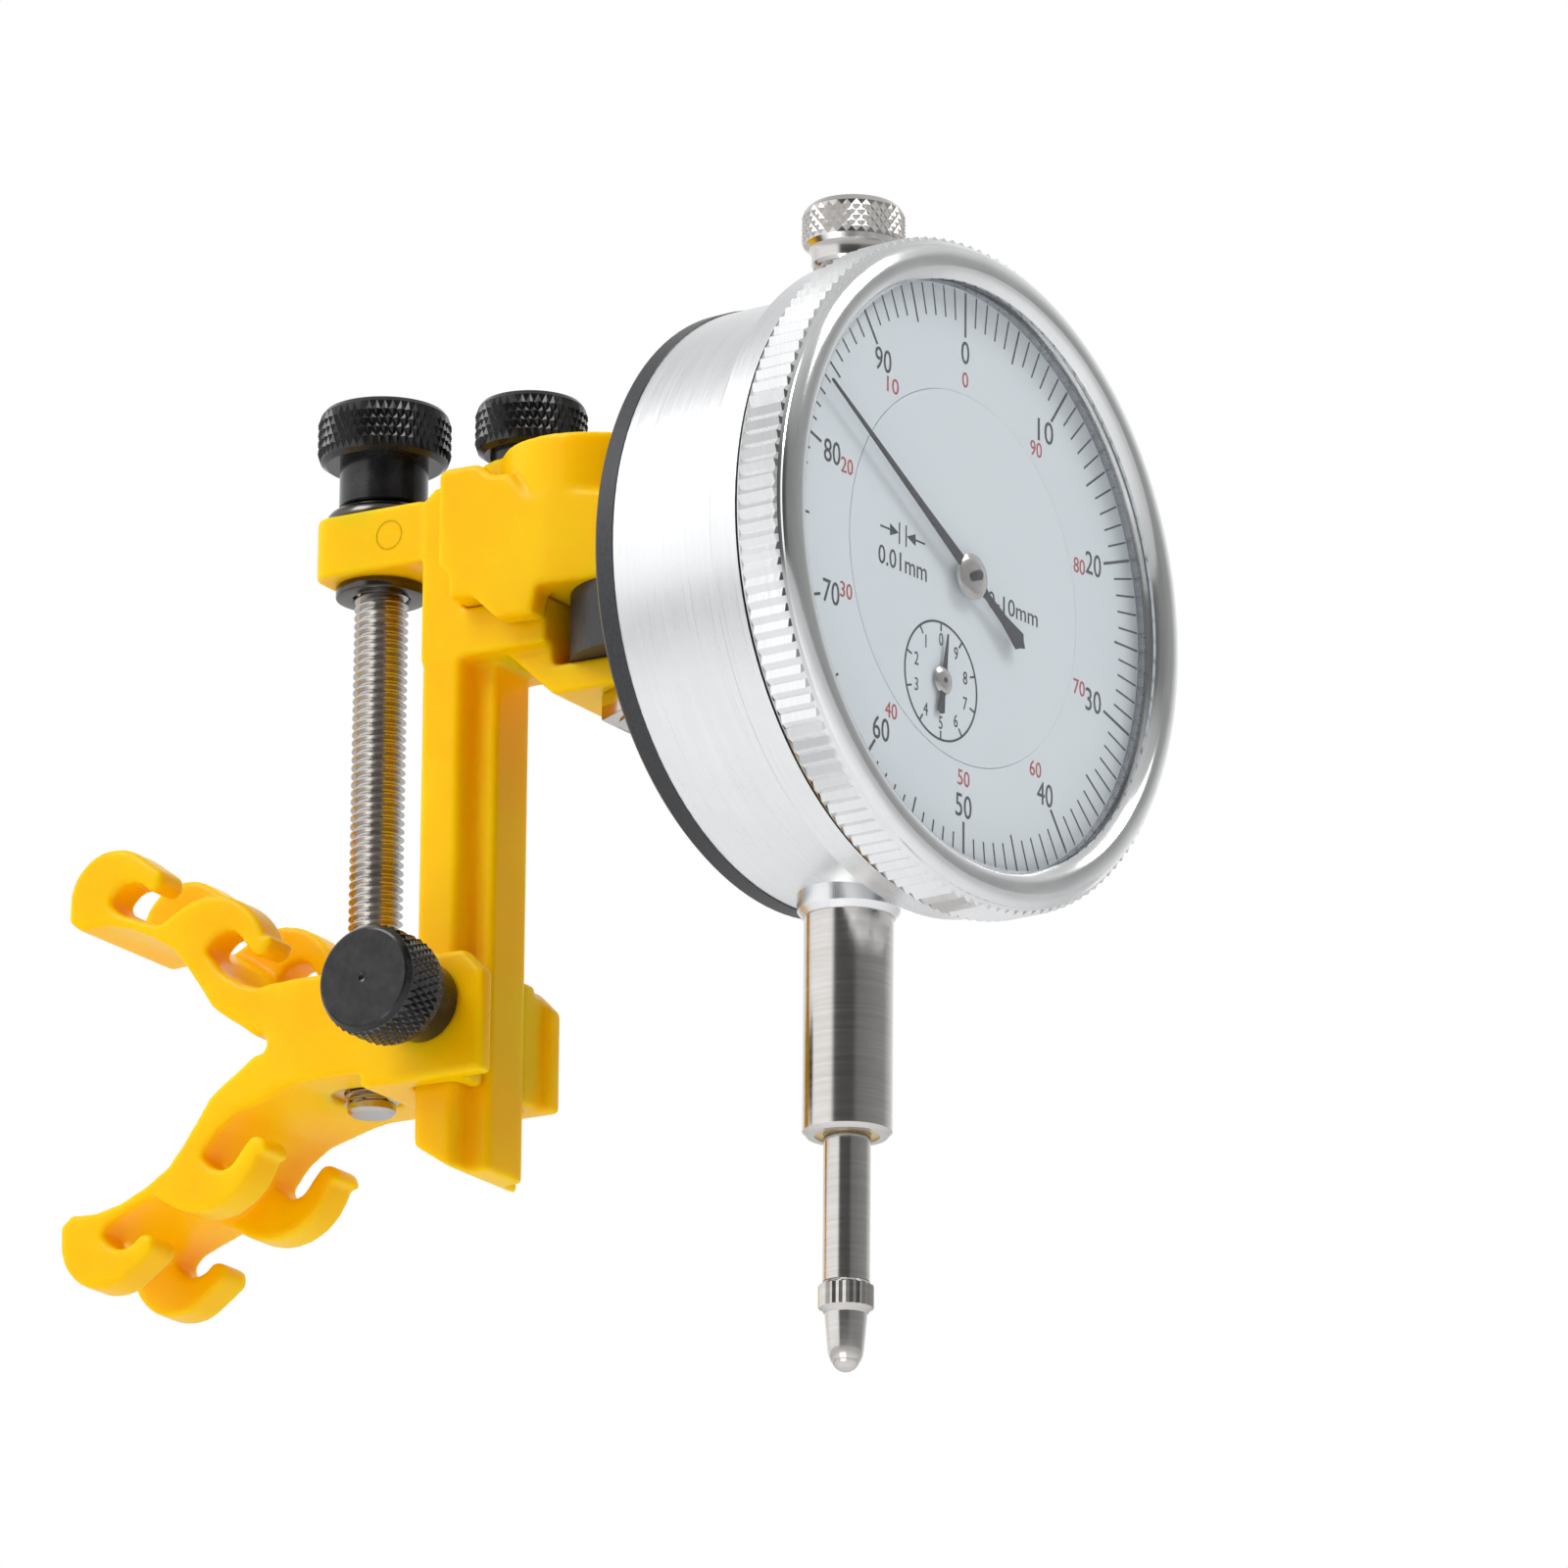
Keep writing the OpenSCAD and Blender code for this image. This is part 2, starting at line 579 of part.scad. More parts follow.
// Round coil about Z: a six-sided wire swept along a helix
module coil(r, wire, z0, z1, turns, steps) {
    n = turns * steps;
    rings = [for (i = [0 : n]) let (a = 360 * i / steps, z = z0 + (z1 - z0) * i / n)
             [for (k = [0 : 5]) let (b = 60 * k)
              [(r + wire * cos(b)) * cos(a), (r + wire * cos(b)) * sin(a), z + wire * sin(b)]]];
    points = [for (ring = rings) for (p = ring) p];
    sides = [for (i = [0 : n - 1]) for (k = [0 : 5]) let (m = (k + 1) % 6)
             [6 * i + k, 6 * (i + 1) + k, 6 * (i + 1) + m, 6 * i + m]];
    polyhedron(points, concat([[0, 1, 2, 3, 4, 5]], sides, [[for (k = [5 : -1 : 0]) 6 * n + k]]),
               convexity = 10);
}

module return_spring() {
    color("lightsteelblue") at_dial() translate([9.4, 13, 0]) coil(1.3, 0.2, -17, 4.5, 14, 8);
}

module spring_post() {
    color("khaki") at_dial() translate([9.4, 0, -18.4]) facing()
        rod(0.8, front_plate_y + 1.22, rear_plate_y - 0.02);
}

// ---------------------------------------------------------------- face and hands
module inner_dial() {
    color("aliceblue") at_dial() difference() {
        facing() turned([[0, 0], [inner_r, 0], [inner_r, 0.45], [13, 0.45], [13, 1.18], [10, 1.18],
                         [10, 0.45], [0, 0.45]]);
        facing() translate([0, 0, -1]) cylinder(h = 3, r = 0.9, $fn = ROUND);
        translate([arbor_x, -1, arbor_z]) facing() cylinder(h = 3, r = 0.9, $fn = ROUND);
    }
}

module scale_ring() {
    color("aliceblue") at_dial() facing() tube(face_r, inner_r + 0.2, 0, 0.5);
}

// Outline of the long hand, tip up, with an arrow-shaped tail
module main_hand_2d() {
    polygon([[-0.7, 2], [-0.25, 24], [0, 24.8], [0.25, 24], [0.7, 2], [0.5, -5.6],
             [1.3, -7.8], [0, -9.2], [-1.3, -7.8], [-0.5, -5.6]]);
}

module main_hand() {
    color("#3c3c42") at_dial() difference() {
        union() {
            rotate([0, main_hand_a, 0]) plate(-1.05, -0.85) main_hand_2d();
            facing() rod(2.1, -1.25, -0.7);
            facing() rod(1.25, -1.85, -1.2);
        }
        facing() rod(0.47, -1.52, 1);
    }
}

module counter_hand() {
    color("#3c3c42") at_dial() translate([arbor_x, 0, arbor_z]) difference() {
        union() {
            rotate([0, small_hand_a, 0]) plate(-0.42, -0.28)
                polygon([[-0.45, 0], [-0.12, 4.2], [0.12, 4.2], [0.45, 0], [0.3, -1.6], [-0.3, -1.6]]);
            facing() rod(1, -0.6, -0.25);
        }
        facing() rod(0.52, -0.42, 1);
    }
}

module bezel() {
    color("silver") at_dial() facing() turned([
        [27.1, 2.95], [bezel_r - 0.5, 2.95], [bezel_r, 2.5], [bezel_r, -1.9], [bezel_r - 0.5, -2.45],
        [29, -2.9], [28, -2.95], [26.7, -2.2], [26.7, -1.8], [27.7, -1.8], [27.7, -0.72], [27.1, -0.72]]);
}

module crystal() {
    color("azure", 0.3) at_dial() facing() turned(concat(
        [for (i = [12 : -1 : 0]) [26.2 * cos(90 * i / 12), -0.78 - 1.5 * sin(90 * i / 12)]],
        [[27.66, -0.78], [27.66, -1.74], [26.5, -1.76]],
        [for (i = [1 : 12]) [26.5 * cos(90 * i / 12), -1.76 - 1.44 * sin(90 * i / 12)]]));
}

// Spring ring that holds the crystal in the bezel
module crystal_ring() {
    color("dimgray") at_dial() facing() tube(27.1, 26.92, -0.7, 0.86);
}

// ---------------------------------------------------------------- spindle
module spindle() {
    z0 = -62.6;
    z1 = 34.2;
    teeth = 24;
    color("silver") at_dial() translate([0, stem_y, 0]) difference() {
        turned([[0, z0], [plunger_r, z0], [plunger_r, z1], [0, z1]]);
        // rack cut into the left side
        for (i = [0 : teeth - 1])
            translate([rack_x, 0, arbor_z + (i - teeth + 4) * rack_pitch]) rotate([90, 0, 0])
                linear_extrude(8, center = true)
                    polygon([[-1, -0.56], [-0.2, -0.29], [0.36, -0.17], [0.36, 0.17], [-0.2, 0.29],
                             [-1, 0.56]]);
        translate([-1, 0, 6]) rotate([0, 90, 0]) cylinder(h = 5, r = 0.7, $fn = ROUND);
    }
}

module guide_pin() {
    color("silver") at_dial() translate([-0.9, stem_y, 6]) rotate([0, 90, 0]) rod(0.7, 0, 10.8);
}

module lift_knob() {
    color("silver") at_dial() translate([0, stem_y, 31.2]) difference() {
        turned([[0, 0], [3.4, 0], [3.8, 0.5], [3.8, 1.5], [4.1, 2.1], [4.65, 2.4],
                [4.65, 5.6], [4.2, 6.1], [0, 6.1]]);
        translate([0, 0, -1]) cylinder(h = 4, r = plunger_r, $fn = ROUND);
    }
}

module contact_point() {
    color("silver") at_dial() translate([0, stem_y, 0]) difference() {
        turned([[0, -62.62], [2.1, -62.62], [2.45, -62.8], [2.45, -65.1], [2.1, -65.4], [1.9, -65.7],
                [1.6, -69], [1.3, -69.7], [0, -69.7]]);
        translate([0, 0, -69.4]) sphere(r = 1.3, $fn = ROUND);
    }
}

module contact_ball() {
    color("white") at_dial() translate([0, stem_y, -69.4]) sphere(r = 1.29, $fn = ROUND);
}

saddle_base();
threaded_insert();
lock_insert();
lock_screw();
lock_knob();
lock_pad();
column();
adjust_rod();
adjust_knob();
dome_washer();
arm_washer();
clamp_insert();
clamp_block();
clamp_screw();
clamp_knob();
pivot_pin();
pivot_nut();
back_plate();
back_screws();
case();
stem();
upper_bush();
lower_bush();
front_plate();
rear_plate();
pillars();
plate_screws();
centre_bridge();
guide_post();
rack_gear();
centre_pinion();
take_up_gear();
hairspring();
return_spring();
spring_post();
inner_dial();
main_hand();
counter_hand();
bezel();
crystal();
crystal_ring();
scale_ring();
spindle();
guide_pin();
lift_knob();
contact_point();
contact_ball();
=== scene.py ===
# %% [markdown]
# # A dial indicator on a strap-on bracket
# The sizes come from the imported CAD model, and so do the bodies that move. This file gives every piece its
# finish, makes again the pieces whose surface is more than a plain turned or moulded shape (knurls, threads,
# soft moulded edges, the printed dial), and sets up a quiet studio. Each step says what the real piece is
# and why it is made the way it is.

# %% Load the model
import json
import math

import bpy
from mathutils import Matrix, Vector

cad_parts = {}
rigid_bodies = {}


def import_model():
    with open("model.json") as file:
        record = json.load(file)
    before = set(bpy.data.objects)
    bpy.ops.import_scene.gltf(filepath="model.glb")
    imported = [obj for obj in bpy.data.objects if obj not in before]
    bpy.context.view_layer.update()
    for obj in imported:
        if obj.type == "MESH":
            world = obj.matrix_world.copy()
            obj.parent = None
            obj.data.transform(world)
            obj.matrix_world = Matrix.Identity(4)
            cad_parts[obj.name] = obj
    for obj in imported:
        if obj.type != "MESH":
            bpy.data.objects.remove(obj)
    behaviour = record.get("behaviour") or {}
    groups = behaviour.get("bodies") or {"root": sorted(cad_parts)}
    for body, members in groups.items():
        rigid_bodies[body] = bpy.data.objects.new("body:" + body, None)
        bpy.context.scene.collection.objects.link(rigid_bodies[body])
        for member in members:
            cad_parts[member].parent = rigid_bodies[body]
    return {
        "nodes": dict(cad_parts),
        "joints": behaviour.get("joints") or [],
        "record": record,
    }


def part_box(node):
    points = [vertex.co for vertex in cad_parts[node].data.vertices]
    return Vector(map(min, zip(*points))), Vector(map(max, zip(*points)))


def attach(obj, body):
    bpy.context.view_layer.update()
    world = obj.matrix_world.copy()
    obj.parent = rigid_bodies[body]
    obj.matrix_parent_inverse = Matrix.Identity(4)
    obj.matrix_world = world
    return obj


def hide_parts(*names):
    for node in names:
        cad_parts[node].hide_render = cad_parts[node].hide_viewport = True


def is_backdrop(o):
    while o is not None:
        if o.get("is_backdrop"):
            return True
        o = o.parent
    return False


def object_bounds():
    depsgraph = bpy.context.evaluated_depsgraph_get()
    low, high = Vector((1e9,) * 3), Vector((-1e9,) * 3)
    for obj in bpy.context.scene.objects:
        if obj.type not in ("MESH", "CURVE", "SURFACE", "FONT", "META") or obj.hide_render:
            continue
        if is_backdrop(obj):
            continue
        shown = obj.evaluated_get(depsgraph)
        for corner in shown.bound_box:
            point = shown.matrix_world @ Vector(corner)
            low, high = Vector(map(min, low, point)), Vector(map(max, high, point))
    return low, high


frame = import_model()
cad_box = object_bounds()
MM = 0.001

# %% [markdown]
# The bracket keeps to the world's axes, but the dial is swung a little about its lug. The direction of its
# axle is in the record, as the joint that the bezel turns on, so the dial's own frame is built from it:
# x to the right of the face, y to the back, z up, and the origin in the middle of the printed face.

# %% The dial's own frame
joints = {joint["name"]: joint for joint in frame["joints"]}
dial_centre = Vector(joints["bezel_turn"]["pos_m"])
dial_back = Vector(joints["bezel_turn"]["axis"]).normalized()
dial_up = Vector((0, 0, 1))
dial_right = dial_back.cross(dial_up).normalized()
DIAL = Matrix.Translation(dial_centre) @ Matrix((dial_right, dial_back, dial_up)).transposed().to_4x4()
print("dial centre (mm):", [round(v / MM, 2) for v in dial_centre])

# %% [markdown]
# The camera looks up at the tool from its lower left with a long lens, so verticals stay almost parallel.
# It is placed from the dial's centre: a direction, a distance, and how far off the middle the dial sits.

# %% Camera
AZIMUTH, ELEVATION, ROLL = math.radians(-59.18), math.radians(-16.6), math.radians(-0.5)
DISTANCE = 1.0
FRAME_WIDTH = 139.19 * MM             # what the frame takes in at the dial's distance
DIAL_OFFSET = (16.01 * MM, 18.27 * MM)  # the dial's centre, right of and above the middle
SENSOR = 36.0

back = Vector((math.sin(AZIMUTH) * math.cos(ELEVATION), -math.cos(AZIMUTH) * math.cos(ELEVATION),
               math.sin(ELEVATION)))
level = Vector((math.cos(AZIMUTH), math.sin(AZIMUTH), 0))
upright = back.cross(level)
right = math.cos(ROLL) * level - math.sin(ROLL) * upright
up = math.sin(ROLL) * level + math.cos(ROLL) * upright
aim = dial_centre - right * DIAL_OFFSET[0] - up * DIAL_OFFSET[1]
camera_data = bpy.data.cameras.new("camera")
camera_data.sensor_width = SENSOR
camera_data.lens = SENSOR * DISTANCE / FRAME_WIDTH
camera_data.clip_start, camera_data.clip_end = 0.05, 20
camera = bpy.data.objects.new("camera", camera_data)
bpy.context.scene.collection.objects.link(camera)
stance = Matrix((right, up, back)).transposed().to_4x4()
camera.matrix_world = Matrix.Translation(aim + back * DISTANCE) @ stance
bpy.context.scene.camera = camera
print("lens (mm):", round(camera_data.lens, 1))

# %% [markdown]
# ## Shader maths
# Finishes are written as short formulas. One class wraps a socket, so that `1 - mask` or `a * b` adds the
# Math node. `NodeMaker.node` adds any other node with its settings and inputs, in a finish or in the sky.

# %% Shader maths
class Term:
    """A socket that can be used in a formula."""

    def __init__(self, socket):
        self.socket = socket

    def maths(self, operation, *others):
        node = self.socket.node.id_data.nodes.new("ShaderNodeMath")
        node.operation = operation
        for place, value in enumerate([self, *others]):
            if isinstance(value, Term):
                node.id_data.links.new(value.socket, node.inputs[place])
            else:
                node.inputs[place].default_value = value
        return Term(node.outputs[0])

    def __add__(self, other): return self.maths("ADD", other)
    def __radd__(self, other): return self.maths("ADD", other)
    def __sub__(self, other): return self.maths("SUBTRACT", other)
    def __mul__(self, other): return self.maths("MULTIPLY", other)
    def __rmul__(self, other): return self.maths("MULTIPLY", other)
    def __truediv__(self, other): return self.maths("DIVIDE", other)
    def __pow__(self, other): return self.maths("POWER", other)

    def __rsub__(self, other):
        return (self * -1) + other

    def clamp(self, low=0.0, high=1.0):
        return self.maths("MAXIMUM", low).maths("MINIMUM", high)

    def step(self, edge, width):
        return ((self - edge) / width + 0.5).clamp()


class NodeMaker:
    """Makes nodes in one node tree: a kind, its settings, and the values or links of its inputs."""

    def __init__(self, tree):
        self.tree = tree

    def node(self, kind, settings=None, output=0, **values):
        made = self.tree.nodes.new("ShaderNode" + kind)
        for name, value in (settings or {}).items():
            setattr(made, name, value)
        for name, value in values.items():
            key = int(name[1:]) if name[0] == "i" and name[1:].isdigit() else name.replace("_", " ")
            if isinstance(value, Term):
                self.tree.links.new(value.socket, made.inputs[key])
            else:
                made.inputs[key].default_value = value
        return Term(made.outputs[output])


class Finish(NodeMaker):
    """A material under construction: a Principled shader and the nodes that feed it."""
    made = {}

    def __init__(self, name, colour, roughness, metallic=0.0, **constants):
        self.material = bpy.data.materials.new(name)
        self.material.use_nodes = True
        super().__init__(self.material.node_tree)
        self.shader = self.tree.nodes["Principled BSDF"]
        self.shader.inputs["Base Color"].default_value = (*colour, 1)
        self.shader.inputs["Roughness"].default_value = roughness
        self.shader.inputs["Metallic"].default_value = metallic
        for socket, value in constants.items():
            self.shader.inputs[socket.replace("_", " ")].default_value = value
        self.material.diffuse_color = (*colour, 1)
        Finish.made[name] = self

    def place(self, turn=0.0, origin=(0, 0, 0), scale=(1, 1, 1)):
        """Object coordinates in millimetres, moved to an origin, turned about z and then stretched."""
        local = self.node("TexCoord", output=3)
        moved = self.node("VectorMath", {"operation": "SUBTRACT"}, i0=local, i1=tuple(origin))
        turned = self.node("Mapping", Vector=moved, Rotation=(0, 0, turn))
        return self.node("Mapping", Vector=turned, Scale=tuple(value / MM for value in scale))

    def noise(self, where, size, detail=3.0, roughness=0.55):
        return self.node("TexNoise", Vector=where, Scale=size, Detail=detail, Roughness=roughness)

    def mix(self, share, dark, light):
        """A colour between two: Mix keeps all three channels, where a Math node would turn it grey."""
        return self.node("Mix", {"data_type": "RGBA"}, output=2, i0=share, i6=(*dark, 1), i7=(*light, 1))

    def feed(self, socket, term):
        self.tree.links.new(term.socket, self.shader.inputs[socket])
        return self

    def bump(self, height, depth, strength=1.0):
        """Bump from a height of 0 to 1 that stands for a depth in millimetres."""
        return self.feed("Normal", self.node("Bump", Height=height, Strength=strength, Distance=depth * MM))


print("shader maths ready")

# %% [markdown]
# ## Studio
# The tool hangs in the air against white, lit from its left. Metal shows what is round it, so the sky is a
# light box: bright on the left and behind, dark where the viewer stands, grey in front and on the right. These
# bands give a turned part its long streaks. Seen directly the sky is plain white.

# %% Light box
world = bpy.data.worlds.new("light box")
world.use_nodes = True
sky = NodeMaker(world.node_tree)
direction = sky.node("TexCoord")
x, y, z = (sky.node("SeparateXYZ", output=axis, i0=direction) for axis in range(3))
round_about = x.maths("ARCTAN2", y * -1) / (2 * math.pi) + 0.5
height = (z.maths("ABSOLUTE") - 0.45) / 0.4
ROUND_STOPS = ((-180, 1.0), (-160, 1.2), (-104, 1.2), (-94, 0.10), (-47, 0.09), (-36, 0.22), (45, 0.36),
               (70, 0.7), (100, 1.0), (180, 1.0))


def stops(term, pairs, low, high):
    """A grey ramp with a stop for each (place, brightness) pair."""
    node = sky.tree.nodes.new("ShaderNodeValToRGB")
    ramp = node.color_ramp
    for number, (place, grey) in enumerate(pairs):
        at = (place - low) / (high - low)
        stop = ramp.elements[0] if number == 0 else ramp.elements.new(at) if number < len(pairs) - 1 \
            else ramp.elements[-1]
        stop.position, stop.color = at, (grey, grey, grey, 1)
    sky.tree.links.new(term.socket, node.inputs[0])
    return Term(node.outputs[0])


walls = stops(round_about, ROUND_STOPS, -180, 180)
ends = stops(z * 0.5 + 0.5, ((0, 0.75), (0.5, 0.8), (1, 0.62)), 0, 1)
share = height.clamp()
glow = walls * (1 - share) + ends * share
seen = sky.node("LightPath")
brightness = glow * (1 - seen) + seen
background = sky.tree.nodes["Background"]
sky.tree.links.new(brightness.socket, background.inputs["Color"])
bpy.context.scene.world = world
bpy.context.scene.view_settings.view_transform = "Standard"
bpy.context.scene.view_settings.look = "None"
print("light box built")

# %% [markdown]
# Three square lamps light the matt parts: a strong one high on the left, a softer one above the front for the
# dial, and a weak one below, where the viewer looks up from. The floor is far below and nearly white.

# %% Lamps and floor
def area_light(name, place, target, size, power, tint=(1, 1, 1)):
    lamp_data = bpy.data.lights.new(name, "AREA")
    lamp_data.shape, lamp_data.size, lamp_data.energy, lamp_data.color = "SQUARE", size, power, tint
    lamp = bpy.data.objects.new(name, lamp_data)
    bpy.context.scene.collection.objects.link(lamp)
    aimed = (Vector(target) - Vector(place)).to_track_quat("-Z", "Y").to_matrix().to_4x4()
    lamp.matrix_world = Matrix.Translation(Vector(place)) @ aimed
    return lamp


middle = (Vector(cad_box[0]) + Vector(cad_box[1])) / 2
area_light("key", middle + Vector((-0.80, 0.35, 0.90)), middle, 0.6, 8.0)
area_light("front", middle + Vector((0.30, -0.75, 0.85)), middle, 0.5, 4.2)
area_light("under", middle + Vector((-0.5, -0.1, -0.5)), middle, 0.5, 1.8, (1.0, 0.98, 0.95))

pale = Finish("pale floor", (0.93, 0.93, 0.93), 0.6)
patch = pale.noise(pale.place(), 0.004, 2.0)
pale.feed("Base Color", pale.mix(patch, (0.91, 0.91, 0.92), (0.95, 0.95, 0.95)))
pale.feed("Roughness", 0.5 + 0.2 * patch)
bpy.ops.object.select_all(action="DESELECT")
bpy.ops.mesh.primitive_grid_add(x_subdivisions=8, y_subdivisions=8, size=40, location=(0, 0, -0.42))
floor = bpy.context.object
floor.name = "floor"
floor.data.materials.append(pale.material)
floor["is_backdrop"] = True
print("floor at", floor.location.z)

# %% [markdown]
# ## Finishes
# The bracket is moulded in a glossy yellow plastic that lets a little light through, so its thin parts glow
# and its shaded sides turn orange instead of grey. A little subsurface light does that, and a faint cloud in
# the colour and in the gloss keeps the large faces from looking computed.

# %% Yellow plastic
yellow = Finish("yellow plastic", (1.0, 0.52, 0.0), 0.34, Subsurface_Weight=0.7,
                Subsurface_Radius=(1.0, 0.35, 0.01), Subsurface_Scale=4.5 * MM, Coat_Weight=0.05,
                Coat_Roughness=0.12, Specular_IOR_Level=0.1)
where = yellow.place()
cloud = yellow.noise(where, 0.09, 2.0)
grain = yellow.noise(where, 2.2, 2.0)
yellow.feed("Base Color", yellow.mix(cloud.step(0.5, 0.5), (1.0, 0.49, 0.0), (1.0, 0.585, 0.0)))
yellow.feed("Roughness", 0.2 + 0.16 * cloud + 0.06 * grain)
yellow.bump(cloud * 0.8 + grain * 0.2, 0.10, 0.35)
print("yellow plastic made")

# %% [markdown]
# Turned metal carries rings round its axis and ground metal carries lines along it. Both are one noise that
# is stretched hard in one direction: along the axis it changes every few hundredths of a millimetre, round it
# hardly at all. The same streaks shade the colour a little and carry the gloss and the bump.

# %% Turned and ground metals
def lined_metal(name, dark, light, gloss, lines, turn=0.0, origin=(0, 0, 0), across=(0.03, 0.03, 1.0),
                depth=0.01):
    metal = Finish(name, light, gloss, 1.0)
    spot = metal.place(turn, origin, across)
    streak = metal.noise(spot, lines, 3.0, 0.7)
    smear = metal.noise(metal.place(), 0.16, 3.0, 0.6)
    share = (streak * 0.7 + smear * 0.5 - 0.1).clamp()
    metal.feed("Base Color", metal.mix(share, dark, light))
    metal.feed("Roughness", (gloss * 0.7 + gloss * 0.8 * streak + 0.1 * gloss * smear).clamp(0.04, 1.0))
    metal.bump(streak, depth, 0.5)
    return metal


unswing = math.atan2(dial_back.x, dial_back.y)    # turns the dial's axle onto y
ALONG_Y = (0.03, 1.0, 0.03)
steel = lined_metal("polished steel", (0.44, 0.42, 0.40), (0.78, 0.76, 0.74), 0.15, 3.0, depth=0.003)
rod_steel = lined_metal("threaded rod steel", (0.34, 0.32, 0.30), (0.70, 0.68, 0.65), 0.22, 2.0)
bright = lined_metal("bright bezel metal", (0.66, 0.67, 0.68), (0.93, 0.94, 0.94), 0.13, 5.0,
                     unswing, dial_centre, ALONG_Y)
case_metal = lined_metal("satin case metal", (0.72, 0.73, 0.74), (0.88, 0.89, 0.90), 0.26, 2.5,
                         unswing, dial_centre, ALONG_Y)
washer_metal = lined_metal("dark washer metal", (0.03, 0.028, 0.026), (0.16, 0.15, 0.14), 0.18, 4.0)
brass = lined_metal("brass", (0.55, 0.36, 0.13), (0.86, 0.66, 0.32), 0.26, 3.0)
spring_metal = lined_metal("spring steel", (0.20, 0.21, 0.26), (0.46, 0.48, 0.54), 0.25, 4.0)
print("metals:", ", ".join(Finish.made))

# %% [markdown]
# Black anodising is a thin dyed skin on aluminium: deep black, satin, and a little paler in the patches where
# it is rubbed. The back plate has a softer, slightly greyer paint with a fine orange peel.

# %% Black finishes
black = Finish("black anodising", (0.02, 0.02, 0.022), 0.26, 0.5, Specular_IOR_Level=0.5,
               Coat_Weight=0.22, Coat_Roughness=0.12)
where = black.place()
rub = black.noise(where, 0.7, 4.0, 0.7)
black.feed("Base Color", black.mix(rub.step(0.6, 0.5), (0.010, 0.010, 0.011), (0.034, 0.034, 0.036)))
black.feed("Roughness", 0.18 + 0.16 * rub)
black.bump(black.noise(where, 9.0, 2.0), 0.008, 0.3)

plate_paint = Finish("black plate paint", (0.03, 0.031, 0.034), 0.42, 0.2)
where = plate_paint.place()
peel = plate_paint.noise(where, 3.0, 2.0)
plate_paint.feed("Base Color", plate_paint.mix(peel, (0.016, 0.017, 0.019), (0.05, 0.052, 0.056)))
plate_paint.feed("Roughness", 0.3 + 0.22 * peel)
plate_paint.bump(peel, 0.02, 0.4)

nylon = Finish("natural nylon", (0.78, 0.75, 0.66), 0.45, Subsurface_Weight=0.2, Subsurface_Scale=1.0 * MM)
nylon.feed("Roughness", 0.35 + 0.25 * nylon.noise(nylon.place(), 1.5))
print("black finishes and nylon made")

# %% [markdown]
# The dial is a sheet with a satin pale grey-blue coat. The inks are slightly uneven in tone, as screen print
# is. The hands are lacquered dark, with bright bushes. The window is clear plastic, thin enough that only its
# gloss shows: its Alpha is a few hundredths, a faint haze, and rises where the view grazes the dome, mostly
# towards its edges, so its pale colour shows there as a painted sheen in place of reflection.

# %% Dial sheet, inks, hands and window
dial_sheet = Finish("dial sheet", (0.86, 0.91, 0.94), 0.38)
where = dial_sheet.place()
veil = dial_sheet.noise(where, 0.05, 2.0)
speck = dial_sheet.noise(where, 12.0, 2.0)
dial_sheet.feed("Base Color",
                dial_sheet.mix(veil * 0.8 + speck * 0.2, (0.76, 0.84, 0.89), (0.84, 0.90, 0.94)))
dial_sheet.feed("Roughness", 0.3 + 0.2 * speck)
dial_sheet.bump(speck, 0.004, 0.3)


def ink(name, dark, light):
    made = Finish(name, dark, 0.5)
    patch = made.noise(made.place(), 2.5, 3.0)
    made.feed("Base Color", made.mix(patch, dark, light))
    made.feed("Roughness", 0.4 + 0.25 * patch)
    return made


black_ink = ink("black ink", (0.020, 0.024, 0.030), (0.055, 0.065, 0.075))
red_ink = ink("red ink", (0.40, 0.035, 0.045), (0.55, 0.09, 0.10))
lacquer = ink("hand lacquer", (0.030, 0.032, 0.042), (0.075, 0.078, 0.095))
lacquer.shader.inputs["Metallic"].default_value = 0.5

window = Finish("clear window", (0.97, 0.99, 1.0), 0.03, Alpha=0.07, IOR=1.49, Specular_IOR_Level=0.5)
# Painted sheen: the window's pale colour shows more where the view grazes it, in place of its reflection.
grazing_sheen = window.node("LayerWeight", output=1, Blend=0.5)
window.feed("Alpha", 0.03 + grazing_sheen ** 3.0 * 0.22)
window.feed("Roughness", 0.02 + 0.03 * window.noise(window.place(), 0.4))
print(len(Finish.made), "finishes")

# %% [markdown]
# Every CAD node gets the finish of its slot in the record. Nodes that are replaced further on keep theirs too,
# in case they are shown on their own.

# %% Finishes on the CAD nodes
FINISH_OF_SLOT = {
    "yellow_plastic": yellow, "brass": brass, "polished_steel": steel, "black_anodised": black,
    "dark_washer": washer_metal, "nylon": nylon, "black_plate": plate_paint, "satin_case": case_metal,
    "spring_steel": spring_metal, "dial_print": dial_sheet, "hand_lacquer": lacquer,
    "bright_bezel": bright, "crystal_clear": window}
slot_of = {part["node"]: part["material_slot"] for part in frame["record"]["subparts"]}


def coat(piece, finish):
    piece.data.materials.clear()
    piece.data.materials.append(finish.material)


def node_object(node):
    return frame["nodes"][node]


for node, slot in slot_of.items():
    coat(node_object(node), FINISH_OF_SLOT[slot])
print(len(slot_of), "nodes coated")

# %% [markdown]
# ## Ways of making
# Five ways cover almost every piece, each of them what one would do by hand. A turned piece is half an
# outline, traced vertex by vertex, and spun round its axis. A knurl is cut into such a piece by lifting every
# other vertex of its band. A thread is one tooth, traced and repeated by the Screw modifier. A flat piece is
# an outline that is filled and extruded. A moulded piece is a copy of its CAD node, remeshed fine and relaxed,
# which rounds every edge the way a mould does.

# %% Tracing and finishing helpers
def deselect():
    if bpy.context.object and bpy.context.object.mode != "OBJECT":
        bpy.ops.object.mode_set(mode="OBJECT")
    bpy.ops.object.select_all(action="DESELECT")


def pick(piece):
    deselect()
    piece.select_set(True)
    bpy.context.view_layer.objects.active = piece


